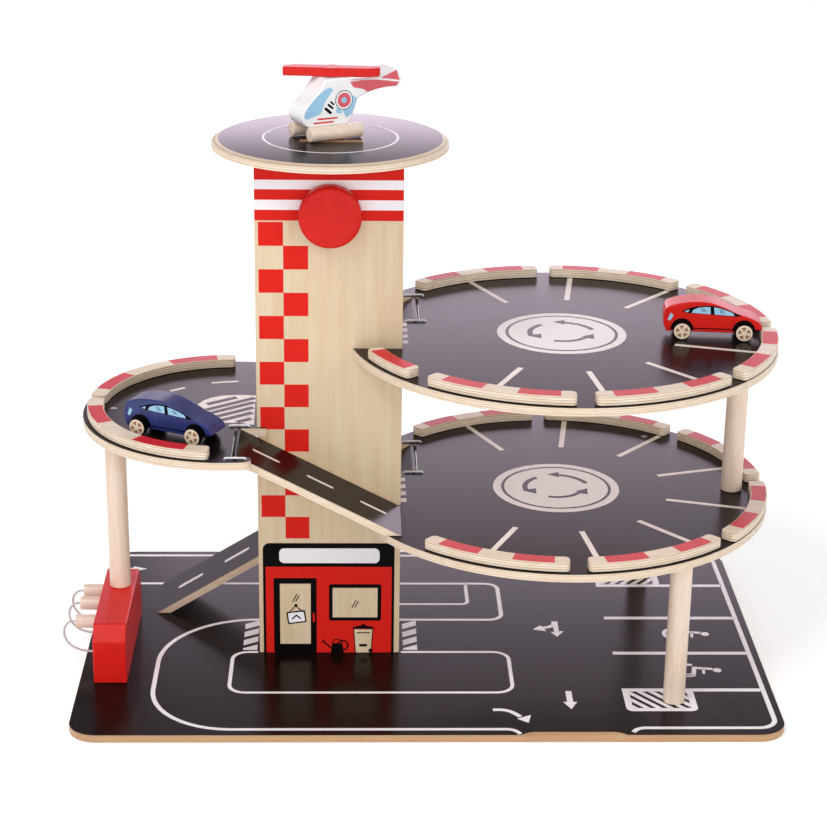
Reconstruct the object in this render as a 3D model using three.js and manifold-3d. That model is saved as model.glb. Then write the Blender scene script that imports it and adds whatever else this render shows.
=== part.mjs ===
// Wooden toy parking garage: a lift tower with a winding knob and a helipad, two round decks and
// a half deck joined by three hinged ramps, a fuel pump, two cars and a helicopter.
// Millimetres, +Z up. The origin is the centre of the base board's underside, +Y is the back.
import * as THREE from 'three';
import { mergeVertices } from 'three/addons/utils/BufferGeometryUtils.js';
import Module from 'manifold-3d';

const wasm = await Module();
wasm.setup();

// Clearances
const seatGap = 0.3; // between pieces that are glued, screwed or resting on each other
const runningGap = 0.3; // round a pin or an axle
const cutOverrun = 2; // how far a cut runs past the face it opens

// Base board
const boardLength = 600;
const boardDepth = 370;
const boardThickness = 7;
const boardCornerRadius = 24;
const drivewayStartX = 77; // the bevelled kerb where cars drive on, along the front edge
const drivewayLength = 88;
const drivewayReach = 5.3;
const drivewayHeight = 5;
const drivewayCutterRadius = 10;

// Storeys
const storeyRise = 143.5; // from one full deck's top to the next
const deckThickness = 7;

// Round decks
const discRadius = 185.5;
const discCentreX = 116.7;
const discCentreY = 5.5;

// Half deck on the left of the tower
const halfDeckRadius = 127.5;
const halfDeckCentreX = -171.5;
const halfDeckCentreY = 9.3;
const halfDeckLap = 8.2; // how far it reaches past the tower's left face, before and behind it
const tongueReach = 13; // the front tongue beyond the hinge line
const tongueCornerRadius = 5;

// Tower
const towerCentreX = -84.2;
const towerWidth = 124;
const towerDepth = 70;
const towerHeight = 453.2;
const panelThickness = 5;
const doorWidth = 46;
const doorHeight = 50;
const doorCornerRadius = 12;

// Lift car
const liftGap = 1; // to the walls of the shaft
const liftFloorThickness = 4;
const liftWallThickness = 4;
const liftClearHeight = 44;
const liftRoofBarWidth = 22;
const cordHoleRadius = 1.5;

// Winding gear
const windingBelowTop = 49; // the axle below the tower's top edge
const windingShiftX = 1; // the axle and the helipad sit this far right of the tower's middle
const shaftRadius = 4;
const drumRadius = 12;
const drumLength = 34;
const flangeRadius = 18;
const flangeThickness = 3;
const knobRadius = 26.2;
const knobThickness = 15;
const knobEdgeRadius = 3.5;
const knobStandOff = 0.8;
const knobBoreDepth = 10;

// Helipad
const padRadius = 99.5;
const padThickness = 7;
const padBevelWidth = 5.8;
const padBevelDrop = 2.5;

// Ramps and their hinges
const rampWidth = 64;
const rampThickness = 6.5;
const groundRampRun = 236; // along X, from the hinge line to the low tip
const halfRampRun = 138.5;
const backHingeSetback = 13.2; // from the tower's right face to the hinge line
const frontHingeSetback = 14.8; // from the tower's left face to the hinge line
const backRampGap = 10.2; // from the tower's back face to the ramp's edge
const frontRampGap = 4.3;
const rampSideGap = 0.8;
const rampEndGap = 0.6;
const pinRadius = 1.2;
const pinLength = 85;
const stapleSpread = 38; // from the ramp's centre line to each staple
const stapleLength = 19;
const stapleWireRadius = 0.8;
const stapleLegLength = 5;

// Kerb rails along the decks' rims
const railWidth = 14.5;
const railHeight = 8;
const railInset = 3.75; // from the deck's rim to the rail
const railCornerRadius = 4;
const railEase = 0.7;
const firstRailDegrees = 113.2; // middle of the first rail of a round deck, from +X
const railPitchDegrees = 44.8;
const railSweepDegrees = 41;
const railOutsets = [0, 1.2, 3.4, 3.6, 0.6, 0]; // how far each rail is screwed down nearer the rim
const railNudgesDegrees = [0, 0, 0, 0, 0, -1];
const shortRailDegrees = -148.7;
const shortRailSweepDegrees = 20.2;
const backRailDegrees = 132.5; // the half deck's two rails
const backRailSweepDegrees = 83.7;
const frontRailDegrees = 221;
const frontRailSweepDegrees = 87.1;

// Posts
const postRadius = 9.25;
const cornerPostXShare = 0.511; // of the discs' radius, right of their centre
const cornerPostYShare = 0.685; // of the discs' radius, each way from the line of the posts
const postLineY = 2;
const sidePostInset = 29.6; // from the discs' rim to the post's middle
const pumpPostInset = 27.3; // from the half deck's rim to the post's middle
const pumpPostY = -2;

// Fuel pump
const pumpPostFromLeft = 15.3; // the post's middle on the block, from its left face
const pumpPostFromFront = 91.6;
const pumpLength = 138.2;
const pumpWidth = 28.5;
const pumpHeight = 51;
const pumpFacet = 12;
const nozzleRadius = 6;
const nozzleReach = 21;
const nozzleSocketDepth = 10;
const nozzleRise = 33; // above the board
const nozzleEdge = 0.6;
const hoseRadius = 1;

// Cars
const carLength = 84.6;
const carHeight = 32.3;
const carWidth = 24;
const carEdge = 1.2;
const wheelRadius = 7.7;
const wheelThickness = 6;
const wheelEdge = 0.5;
const wheelGap = 0.6;
const rearOverhang = 15.9;
const wheelBase = 53.1;
const carAxleRadius = 1;
const redCarInset = 81.8; // from the disc's rim to the middle of the rear axle
const redCarOffset = 3.1; // behind the disc's centre
const redCarTurnDegrees = -5.6;
const blueCarInset = 60.6; // from the half deck's rim to the middle of the rear axle
const blueCarOffset = 50.3; // before the half deck's centre
const blueCarTurnDegrees = -25.5;

// Helicopter
const craftLength = 94;
const craftHeight = 42.2;
const craftWidth = 25;
const craftEdge = 1.4;
const craftRise = 11.7; // the body's underside above the helipad
const craftRoofShare = 0.917; // of the helicopter's height, below the tail fin's tip
const craftNoseReach = 29.9; // the nose ahead of the skids' middle
const craftX = -85.9; // the skids' middle on the helipad
const craftY = 3;
const craftTurnDegrees = 28;
const skidRadius = 6;
const skidLength = 48;
const skidSpacing = 27;
const skidLead = 3; // the left skid sits ahead of the right one
const rotorLength = 80;
const rotorWidth = 13.5;
const rotorThickness = 7.2;
const rotorHubRadius = 8.7;
const rotorCutLength = 9;
const rotorCutDepth = 5;
const rotorLift = 0.5; // above the body
const rotorPinRadius = 3;
const rotorPinDepth = 14;
const rotorSetback = 3.9; // behind the skids' middle
const rotorTurnDegrees = -33; // from the helicopter's own length

// Heights and faces that follow
const lowerDeckTop = boardThickness + storeyRise;
const upperDeckTop = lowerDeckTop + storeyRise;
const halfDeckTop = lowerDeckTop + storeyRise / 2;
const towerLeft = towerCentreX - towerWidth / 2;
const towerRight = towerCentreX + towerWidth / 2;
const towerFront = -towerDepth / 2;
const towerBack = towerDepth / 2;
const towerTop = boardThickness + towerHeight;
const windingX = towerCentreX + windingShiftX;
const windingZ = towerTop - windingBelowTop;
const padTop = towerTop + seatGap + padThickness;
const hingeDrop = rampThickness / 2; // the hinge line below the deck's top
const backHingeX = towerRight + backHingeSetback;
const frontHingeX = towerLeft - frontHingeSetback;
const backRampY = towerBack + backRampGap + rampWidth / 2;
const frontRampY = towerFront - frontRampGap - rampWidth / 2;
const cornerPostX = discCentreX + cornerPostXShare * discRadius;
const cornerPostReach = cornerPostYShare * discRadius;
const sidePostX = discCentreX + discRadius - sidePostInset;
const pumpPostX = halfDeckCentreX - halfDeckRadius + pumpPostInset;
const pumpLeftX = pumpPostX - pumpPostFromLeft;
const pumpFrontY = pumpPostY - pumpPostFromFront;

// Numbers of straight sides on round forms
const rimSides = 112;
const padSides = 96;
const knobSides = 48;
const postSides = 24;
const wheelSides = 20;
const pinSides = 12;
const wireSides = 6;

const finishes = {
  birch: { color: '#e0c7a2', roughness: 0.6, metalness: 0 },
  blackPaint: { color: '#2b272c', roughness: 0.3, metalness: 0 },
  redPaint: { color: '#d8281f', roughness: 0.35, metalness: 0 },
  bluePaint: { color: '#2a2f6e', roughness: 0.35, metalness: 0 },
  whitePaint: { color: '#f1eff0', roughness: 0.35, metalness: 0 },
  steelWire: { color: '#b9bbbd', roughness: 0.3, metalness: 1 },
  whiteCord: { color: '#eeeae4', roughness: 0.8, metalness: 0 },
};

const garage = new THREE.Group();

function addPiece(parent, name, geometry, finish, x = 0, y = 0, z = 0) {
  const piece = new THREE.Mesh(geometry, new THREE.MeshStandardMaterial(finishes[finish]));
  piece.name = name;
  piece.position.set(x, y, z);
  parent.add(piece);
  return piece;
}

function addGroup(parent, x, y, z, turnDegrees = 0) {
  const group = new THREE.Group();
  group.position.set(x, y, z);
  group.rotation.z = THREE.MathUtils.degToRad(turnDegrees);
  parent.add(group);
  return group;
}

// Solids are cut and joined with shared corners, and go back to plain triangles afterwards.
function solidOf(geometry) {
  const bare = geometry.clone();
  bare.deleteAttribute('normal');
  bare.deleteAttribute('uv');
  const merged = mergeVertices(bare);
  const mesh = new wasm.Mesh({
    numProp: 3,
    vertProperties: merged.attributes.position.array,
    triVerts: Uint32Array.from(merged.index.array),
  });
  return new wasm.Manifold(mesh);
}

function geometryOf(solid) {
  const mesh = solid.getMesh();
  const geometry = new THREE.BufferGeometry();
  geometry.setAttribute('position', new THREE.BufferAttribute(mesh.vertProperties, 3));
  geometry.setIndex(new THREE.BufferAttribute(mesh.triVerts, 1));
  geometry.computeVertexNormals();
  return geometry;
}

function cut(geometry, tools) {
  return geometryOf(tools.reduce((solid, tool) => solid.subtract(solidOf(tool)), solidOf(geometry)));
}

function join(first, others) {
  return geometryOf(others.reduce((solid, other) => solid.add(solidOf(other)), solidOf(first)));
}

function boxBetween(x, y, z) {
  const box = new THREE.BoxGeometry(x[1] - x[0], y[1] - y[0], z[1] - z[0]);
  return box.translate((x[0] + x[1]) / 2, (y[0] + y[1]) / 2, (z[0] + z[1]) / 2);
}

function rodAlongX(radius, startX, endX, sides) {
  const rod = new THREE.CylinderGeometry(radius, radius, endX - startX, sides);
  return rod.rotateZ(Math.PI / 2).translate((startX + endX) / 2, 0, 0);
}

function rodAlongY(radius, startY, endY, sides) {
  const rod = new THREE.CylinderGeometry(radius, radius, endY - startY, sides);
  return rod.translate(0, (startY + endY) / 2, 0);
}

function rodAlongZ(radius, startZ, endZ, sides) {
  const rod = new THREE.CylinderGeometry(radius, radius, endZ - startZ, sides);
  return rod.rotateX(Math.PI / 2).translate(0, 0, (startZ + endZ) / 2);
}

function turnedAlongY(outline, sides) {
  return new THREE.LatheGeometry(outline.map(([radius, y]) => new THREE.Vector2(radius, y)), sides);
}

function plate(shape, thickness, curveSegments = 8) {
  return new THREE.ExtrudeGeometry(shape, { depth: thickness, bevelEnabled: false, curveSegments });
}

// A plate drawn in X and Z, which stands with its thickness centred across Y.
function standingPlate(shape, width, edge = 0) {
  const geometry = new THREE.ExtrudeGeometry(shape, {
    depth: width - 2 * edge,
    bevelEnabled: edge > 0,
    bevelThickness: edge,
    bevelSize: edge,
    bevelOffset: -edge,
    bevelSegments: 2,
    curveSegments: 6,
  });
  return geometry.rotateX(Math.PI / 2).translate(0, width / 2 - edge, 0);
}

function roundedRectangle(width, height, radius) {
  const shape = new THREE.Shape();
  const x = width / 2 - radius;
  const y = height / 2 - radius;
  shape.absarc(x, y, radius, 0, Math.PI / 2);
  shape.absarc(-x, y, radius, Math.PI / 2, Math.PI);
  shape.absarc(-x, -y, radius, Math.PI, Math.PI * 1.5);
  shape.absarc(x, -y, radius, Math.PI * 1.5, Math.PI * 2);
  return shape;
}

function shapeFromShares(shares, width, height) {
  return new THREE.Shape(shares.map(([x, y]) => new THREE.Vector2(x * width, y * height)));
}

// The chamfer cutter runs along the board's front edge and leaves a sloping kerb with curved ends.
function makeBaseBoard() {
  const board = plate(roundedRectangle(boardLength, boardDepth, boardCornerRadius), boardThickness);
  const wideRadius = drivewayCutterRadius + drivewayReach;
  const sweep = Math.sqrt(wideRadius ** 2 - drivewayCutterRadius ** 2);
  const startX = drivewayStartX + sweep;
  const endX = drivewayStartX + drivewayLength - sweep;
  const slope = drivewayReach / drivewayHeight;
  const topZ = boardThickness + cutOverrun;
  const topRadius = wideRadius + slope * cutOverrun;
  const lowZ = boardThickness - drivewayHeight;
  const cutterY = -boardDepth / 2 - drivewayCutterRadius;
  const cone = new THREE.CylinderGeometry(topRadius, drivewayCutterRadius, topZ - lowZ, postSides);
  cone.rotateX(Math.PI / 2).translate(0, cutterY, (topZ + lowZ) / 2);
  const wedge = new THREE.Shape();
  wedge.moveTo(0, lowZ);
  wedge.lineTo(drivewayCutterRadius, lowZ);
  wedge.lineTo(topRadius, topZ);
  wedge.lineTo(0, topZ);
  const run = plate(wedge, endX - startX);
  run.rotateX(Math.PI / 2).rotateZ(Math.PI / 2).translate(startX, cutterY, 0);
  return cut(board, [cone.clone().translate(startX, 0, 0), cone.clone().translate(endX, 0, 0), run]);
}

function makeDoorCutter(bottomZ, topZ) {
  const opening = new THREE.Shape();
  opening.moveTo(-doorWidth / 2, bottomZ);
  opening.lineTo(doorWidth / 2, bottomZ);
  opening.absarc(doorWidth / 2 - doorCornerRadius, topZ - doorCornerRadius, doorCornerRadius, 0, Math.PI / 2);
  opening.absarc(doorCornerRadius - doorWidth / 2, topZ - doorCornerRadius, doorCornerRadius,
    Math.PI / 2, Math.PI);
  const cutter = plate(opening, panelThickness + 2 * cutOverrun, 4);
  return cutter.rotateX(Math.PI / 2).rotateZ(Math.PI / 2).translate(-cutOverrun, 0, 0);
}

// A side wall stands between the front and back panels, with a doorway at each storey it serves.
function makeSideWall(doorSills) {
  const reach = towerBack - panelThickness - seatGap;
  const wall = boxBetween([0, panelThickness], [-reach, reach], [boardThickness + seatGap, towerTop]);
  const groundDoor = makeDoorCutter(0, boardThickness + doorHeight);
  const doors = doorSills.map((sill) => makeDoorCutter(sill, sill + doorHeight));
  return cut(wall, [groundDoor, ...doors]);
}

function makeTower() {
  const bottomZ = boardThickness + seatGap;
  const face = boxBetween([-towerWidth / 2, towerWidth / 2], [0, panelThickness], [bottomZ, towerTop]);
  const shaftHole = rodAlongY(shaftRadius + runningGap, -cutOverrun, panelThickness + cutOverrun, postSides);
  shaftHole.translate(windingShiftX, 0, windingZ);
  const drilledFace = cut(face, [shaftHole]);
  addPiece(garage, 'tower_front_panel', drilledFace, 'birch', towerCentreX, towerFront);
  addPiece(garage, 'tower_back_panel', drilledFace.clone(), 'birch', towerCentreX, towerBack - panelThickness);
  addPiece(garage, 'tower_left_wall', makeSideWall([halfDeckTop]), 'birch', towerLeft);
  const rightWall = makeSideWall([lowerDeckTop, upperDeckTop]);
  addPiece(garage, 'tower_right_wall', rightWall, 'birch', towerRight - panelThickness);
}

// The lift car is a tube open to both side doorways, hung from a bar across its roof.
function makeLiftCar() {
  const halfLength = towerWidth / 2 - panelThickness - liftGap;
  const halfDepth = towerDepth / 2 - panelThickness - liftGap;
  const insideHalfDepth = halfDepth - liftWallThickness;
  const insideTop = liftFloorThickness + liftClearHeight;
  const outsideTop = insideTop + liftFloorThickness;
  const box = boxBetween([-halfLength, halfLength], [-halfDepth, halfDepth], [0, outsideTop]);
  const farX = halfLength + cutOverrun;
  const cabin = boxBetween([-farX, farX], [-insideHalfDepth, insideHalfDepth], [liftFloorThickness, insideTop]);
  const barHalf = liftRoofBarWidth / 2;
  const roofY = [-insideHalfDepth, insideHalfDepth];
  const roofZ = [insideTop - liftFloorThickness, outsideTop + cutOverrun];
  const roofLeft = boxBetween([-farX, -barHalf], roofY, roofZ);
  const roofRight = boxBetween([barHalf, farX], roofY, roofZ);
  const cordHole = rodAlongZ(cordHoleRadius, insideTop - cutOverrun, outsideTop + cutOverrun, pinSides);
  cordHole.translate(windingShiftX, 0, 0);
  return cut(box, [cabin, roofLeft, roofRight, cordHole]);
}

// Axle, drum and flanges are turned in one piece; the front end is pressed into the knob.
function makeWindingAxle() {
  const drumHalf = drumLength / 2;
  const flangeEnd = drumHalf + flangeThickness;
  const frontEnd = towerFront - knobStandOff - knobBoreDepth + seatGap;
  const axle = turnedAlongY([
    [0, frontEnd],
    [shaftRadius, frontEnd],
    [shaftRadius, -flangeEnd],
    [flangeRadius, -flangeEnd],
    [flangeRadius, -drumHalf],
    [drumRadius, -drumHalf],
    [drumRadius, drumHalf],
    [flangeRadius, drumHalf],
    [flangeRadius, flangeEnd],
    [shaftRadius, flangeEnd],
    [shaftRadius, towerBack],
    [0, towerBack],
  ], postSides);
  const cordHole = rodAlongZ(cordHoleRadius, -flangeRadius, flangeRadius, pinSides);
  return cut(axle, [cordHole]);
}

function makeKnob() {
  const bore = shaftRadius + seatGap;
  const flat = knobRadius - knobEdgeRadius;
  const outline = [[0, -knobThickness], [flat, -knobThickness]];
  const edgeSteps = 4;
  for (let step = 1; step <= edgeSteps; step += 1) {
    const angle = (Math.PI / 2) * (step / edgeSteps);
    const radius = flat + knobEdgeRadius * Math.sin(angle);
    outline.push([radius, knobEdgeRadius * (1 - Math.cos(angle)) - knobThickness]);
  }
  const backEdge = knobEdgeRadius / 2;
  outline.push([knobRadius, -backEdge], [knobRadius - backEdge, 0], [bore, 0], [bore, -knobBoreDepth]);
  outline.push([0, -knobBoreDepth]);
  return turnedAlongY(outline, knobSides);
}

function makeHelipad() {
  const pad = turnedAlongY([
    [0, 0],
    [padRadius, 0],
    [padRadius, padThickness - padBevelDrop],
    [padRadius - padBevelWidth, padThickness],
    [0, padThickness],
  ], padSides);
  return pad.rotateX(Math.PI / 2);
}

// A hinge's seat in a deck: a slot for the pin, open at the top, and two holes for each staple.
// x is the hinge line and y the ramp's centre line, both from the deck's own centre.
function makeHingeSeatCutters(x, y) {
  const reach = pinLength / 2 + seatGap;
  const slotHalf = pinRadius + seatGap;
  const top = deckThickness + cutOverrun;
  const slotBottom = deckThickness - hingeDrop - slotHalf;
  const cutters = [boxBetween([x - slotHalf, x + slotHalf], [y - reach, y + reach], [slotBottom, top])];
  const legX = stapleLength / 2 - stapleWireRadius;
  for (const sideY of [-stapleSpread, stapleSpread]) {
    for (const endX of [-legX, legX]) {
      const holeBottom = deckThickness - stapleLegLength - seatGap;
      const hole = rodAlongZ(stapleWireRadius + seatGap, holeBottom, top, wireSides);
      cutters.push(hole.translate(x + endX, y + sideY, 0));
    }
  }
  return cutters;
}

// A round deck wraps the tower's front and right side, with a notch for the ramp behind the tower.
function makeDisc() {
  const disc = rodAlongZ(discRadius, 0, deckThickness, rimSides);
  const farX = -discRadius - cutOverrun;
  const z = [-cutOverrun, deckThickness + cutOverrun];
  const towerEdge = towerRight - discCentreX + seatGap;
  const notchX = backHingeX - discCentreX + hingeDrop + rampEndGap;
  const hingeX = backHingeX - discCentreX;
  const rampY = backRampY - discCentreY;
  const notchHalf = rampWidth / 2 + rampSideGap;
  const frontOfTower = towerFront - discCentreY - seatGap;
  const towerNotch = boxBetween([farX, towerEdge], [frontOfTower, rampY], z);
  const rampNotch = boxBetween([farX, notchX], [rampY - notchHalf, rampY + notchHalf], z);
  return cut(disc, [towerNotch, rampNotch, ...makeHingeSeatCutters(hingeX, rampY)]);
}

function makeHalfDeck() {
  const disc = rodAlongZ(halfDeckRadius, 0, deckThickness, rimSides);
  const far = halfDeckRadius + cutOverrun;
  const z = [-cutOverrun, deckThickness + cutOverrun];
  const endX = towerLeft + halfDeckLap - halfDeckCentreX;
  const towerEdge = towerLeft - halfDeckCentreX - seatGap;
  const towerY = [towerFront - halfDeckCentreY - seatGap, towerBack - halfDeckCentreY + seatGap];
  const hingeX = frontHingeX - halfDeckCentreX;
  const rampY = frontRampY - halfDeckCentreY;
  const notchHalf = rampWidth / 2 + rampSideGap;
  const notchY = [rampY - notchHalf, rampY + notchHalf];
  const tongueEnd = hingeX + tongueReach;
  const tongueEdge = -Math.sqrt(halfDeckRadius ** 2 - tongueEnd ** 2);
  const tongueWidth = notchY[0] - tongueEdge;
  const keptTongue = plate(roundedRectangle(2 * tongueReach, tongueWidth, tongueCornerRadius),
    deckThickness + 4 * cutOverrun);
  keptTongue.translate(tongueEnd - tongueReach, notchY[0] - tongueWidth / 2, -2 * cutOverrun);
  const tongueTrim = cut(boxBetween([tongueEnd - tongueCornerRadius, far], [-far, notchY[0]], z), [keptTongue]);
  return cut(disc, [
    boxBetween([endX, far], [-far, far], z),
    boxBetween([towerEdge, far], towerY, z),
    boxBetween([hingeX - hingeDrop - rampEndGap, far], notchY, z),
    tongueTrim,
    ...makeHingeSeatCutters(hingeX, rampY),
  ]);
}

// Slope at which a ramp's top face runs from the hinge down to the floor at its tip.
function rampSlope(rise, run) {
  return Math.atan2(rise, run) + Math.asin(hingeDrop / Math.hypot(rise, run));
}

// A ramp turns about its rounded upper end and lies flat on the floor with its lower end.
// side is -1 for a ramp that runs down to the left, and 1 to the right.
function makeRamp(rise, run, side) {
  const slope = rampSlope(rise, run);
  const topLength = (rise + hingeDrop * Math.cos(slope)) / Math.sin(slope);
  const underLength = (rise - hingeDrop * Math.cos(slope)) / Math.sin(slope);
  const profile = new THREE.Shape();
  profile.moveTo(side * topLength, hingeDrop);
  profile.lineTo(side * underLength, -hingeDrop);
  const startAngle = -Math.PI / 2;
  profile.absarc(0, 0, hingeDrop, startAngle, Math.PI / 2, side > 0);
  const pinHole = rodAlongY(pinRadius + runningGap, -rampWidth, rampWidth, pinSides);
  const ramp = cut(standingPlate(profile, rampWidth), [pinHole]);
  return ramp.rotateY(side * slope);
}

function makeStaple() {
  const legX = stapleLength / 2 - stapleWireRadius;
  const crown = rodAlongX(stapleWireRadius, -stapleLength / 2, stapleLength / 2, wireSides);
  const leg = rodAlongZ(stapleWireRadius, -stapleLegLength - stapleWireRadius, 0, wireSides);
  return join(crown, [leg.clone().translate(-legX, 0, 0), leg.clone().translate(legX, 0, 0)]);
}

function addRampWithHinge(name, deckTop, floorTop, hingeX, rampY, run, side) {
  const hingeZ = deckTop - hingeDrop;
  const rise = hingeZ - floorTop - seatGap;
  addPiece(garage, `${name}_ramp`, makeRamp(rise, run, side), 'blackPaint', hingeX, rampY, hingeZ);
  const pin = rodAlongY(pinRadius, -pinLength / 2, pinLength / 2, pinSides);
  addPiece(garage, `${name}_hinge_pin`, pin, 'steelWire', hingeX, rampY, hingeZ);
  const stapleZ = deckTop + seatGap + stapleWireRadius;
  for (const [place, offset] of [['front', -stapleSpread], ['back', stapleSpread]]) {
    addPiece(garage, `${name}_hinge_staple_${place}`, makeStaple(), 'steelWire', hingeX, rampY + offset, stapleZ);
  }
}

// A kerb rail is a stretch of ring with rounded corners and an eased top edge.
function railOutline(outerRadius, sweep, ease) {
  const outer = outerRadius - ease;
  const inner = outerRadius - railWidth + ease;
  const corner = railCornerRadius - ease;
  const outline = [];
  const cornerSteps = 3;
  const arcSteps = Math.max(2, Math.ceil(sweep / THREE.MathUtils.degToRad(4)));
  const endTrim = ease / outerRadius;
  for (const [radius, direction] of [[outer, 1], [inner, -1]]) {
    const centreRadius = radius - direction * corner;
    const cornerAngle = Math.asin(corner / centreRadius);
    const half = sweep / 2 - endTrim - cornerAngle;
    for (const end of [-1, 1]) {
      const centreAngle = direction * end * half;
      const centreX = centreRadius * Math.cos(centreAngle);
      const centreY = centreRadius * Math.sin(centreAngle);
      for (let step = 0; step <= cornerSteps; step += 1) {
        const turn = (end < 0 ? cornerSteps - step : step) / cornerSteps;
        const away = direction > 0 ? end * turn * (Math.PI / 2) : Math.PI + end * turn * (Math.PI / 2);
        const angle = centreAngle + away;
        const x = centreX + corner * Math.cos(angle);
        const y = centreY + corner * Math.sin(angle);
        outline.push(new THREE.Vector2(x, y));
      }
      for (let step = 1; end < 0 && step < arcSteps; step += 1) {
        const angle = direction * half * ((2 * step) / arcSteps - 1);
        outline.push(new THREE.Vector2(radius * Math.cos(angle), radius * Math.sin(angle)));
      }
    }
  }
  return outline;
}

function makeRail(deckRadius, sweepDegrees) {
  const outerRadius = deckRadius - railInset;
  const sweep = THREE.MathUtils.degToRad(sweepDegrees);
  const lower = railOutline(outerRadius, sweep, 0);
  const upper = railOutline(outerRadius, sweep, railEase);
  const count = lower.length;
  const rings = [[lower, 0], [lower, railHeight - railEase], [upper, railHeight]];
  const corners = rings.flatMap(([outline, z]) => outline.flatMap((point) => [point.x, point.y, z]));
  const faces = [];
  for (let ring = 0; ring < rings.length - 1; ring += 1) {
    for (let index = 0; index < count; index += 1) {
      const next = (index + 1) % count;
      const low = ring * count;
      const high = low + count;
      faces.push(low + index, low + next, high + next, low + index, high + next, high + index);
    }
  }
  const topStart = (rings.length - 1) * count;
  for (const [a, b, c] of THREE.ShapeUtils.triangulateShape(upper, [])) {
    faces.push(topStart + a, topStart + b, topStart + c);
  }
  for (const [a, b, c] of THREE.ShapeUtils.triangulateShape(lower, [])) {
    faces.push(c, b, a);
  }
  const geometry = new THREE.BufferGeometry();
  geometry.setAttribute('position', new THREE.Float32BufferAttribute(corners, 3));
  geometry.setIndex(faces);
  geometry.computeVertexNormals();
  return geometry;
}

function addRails(name, group, deckRadius, spans) {
  spans.forEach(([middle, sweep, outset = 0], index) => {
    const rail = addPiece(group, `${name}_rail_${index + 1}`, makeRail(deckRadius, sweep), 'birch');
    const angle = THREE.MathUtils.degToRad(middle);
    rail.position.set(outset * Math.cos(angle), outset * Math.sin(angle), deckThickness + seatGap);
    rail.rotation.z = angle;
  });
}

function addDecks() {
  const fullSpans = [];
  for (let index = 0; index < 6; index += 1) {
    const middle = firstRailDegrees - index * railPitchDegrees + railNudgesDegrees[index];
    fullSpans.push([middle, railSweepDegrees, railOutsets[index]]);
  }
  const shortSpan = [shortRailDegrees, shortRailSweepDegrees];
  const halfDeckSpans = [
    [backRailDegrees, backRailSweepDegrees],
    [frontRailDegrees, frontRailSweepDegrees],
  ];
  for (const [name, top, spans] of [
    ['lower_deck', lowerDeckTop, fullSpans],
    ['upper_deck', upperDeckTop, [...fullSpans, shortSpan]],
  ]) {
    const group = addGroup(garage, discCentreX, discCentreY, top - deckThickness);
    addPiece(group, name, makeDisc(), 'blackPaint');
    addRails(name, group, discRadius, spans);
  }
  const halfDeckBottom = halfDeckTop - deckThickness;
  const halfDeckGroup = addGroup(garage, halfDeckCentreX, halfDeckCentreY, halfDeckBottom);
  addPiece(halfDeckGroup, 'half_deck', makeHalfDeck(), 'blackPaint');
  addRails('half_deck', halfDeckGroup, halfDeckRadius, halfDeckSpans);
}

function addPosts() {
  const lowerUnderside = lowerDeckTop - deckThickness;
  for (const [name, x, y, footZ, headZ] of [
    ['front_post', cornerPostX, postLineY - cornerPostReach, boardThickness, lowerUnderside],
    ['back_post', cornerPostX, postLineY + cornerPostReach, boardThickness, lowerUnderside],
    ['side_post', sidePostX, postLineY, lowerDeckTop, upperDeckTop - deckThickness],
    ['pump_post', pumpPostX, pumpPostY, boardThickness + seatGap + pumpHeight, halfDeckTop - deckThickness],
  ]) {
    const post = rodAlongZ(postRadius, footZ + seatGap, headZ - seatGap, postSides);
    addPiece(garage, name, post, 'birch', x, y);
  }
}

// The hose leaves the nozzle's outer end, drops in a loop and goes back to the pump's left face.
// The points are measured from the middle of the nozzle's outer end.
const hoseRoute = [
  [-0.3, 0, 0],
  [-2.4, -0.1, 0],
  [-4.6, -0.3, -0.4],
  [-6.8, -0.7, -1.5],
  [-8.6, -1.2, -3.3],
  [-9.8, -1.9, -5.7],
  [-10.3, -2.7, -8.5],
  [-10.1, -3.6, -11.5],
  [-9.1, -4.6, -14.5],
  [-7.3, -5.6, -17.3],
  [-4.7, -6.6, -19.8],
  [-1.3, -7.6, -21.8],
  [2.7, -8.5, -23.2],
  [7.2, -9.2, -24.1],
  [12, -9.7, -24.5],
  [16.6, -9.9, -24.6],
  [20.7, -10, -24.6],
];

function makeHose() {
  const points = hoseRoute.map(([x, y, z]) => new THREE.Vector3(x, y, z));
  const section = new THREE.Shape();
  const sides = 8;
  for (let side = 0; side < sides; side += 1) {
    const angle = (side / sides) * 2 * Math.PI;
    section[side === 0 ? 'moveTo' : 'lineTo'](hoseRadius * Math.cos(angle), hoseRadius * Math.sin(angle));
  }
  return new THREE.ExtrudeGeometry(section, {
    steps: 14,
    extrudePath: new THREE.CatmullRomCurve3(points, false, 'centripetal'),
  });
}

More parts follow.
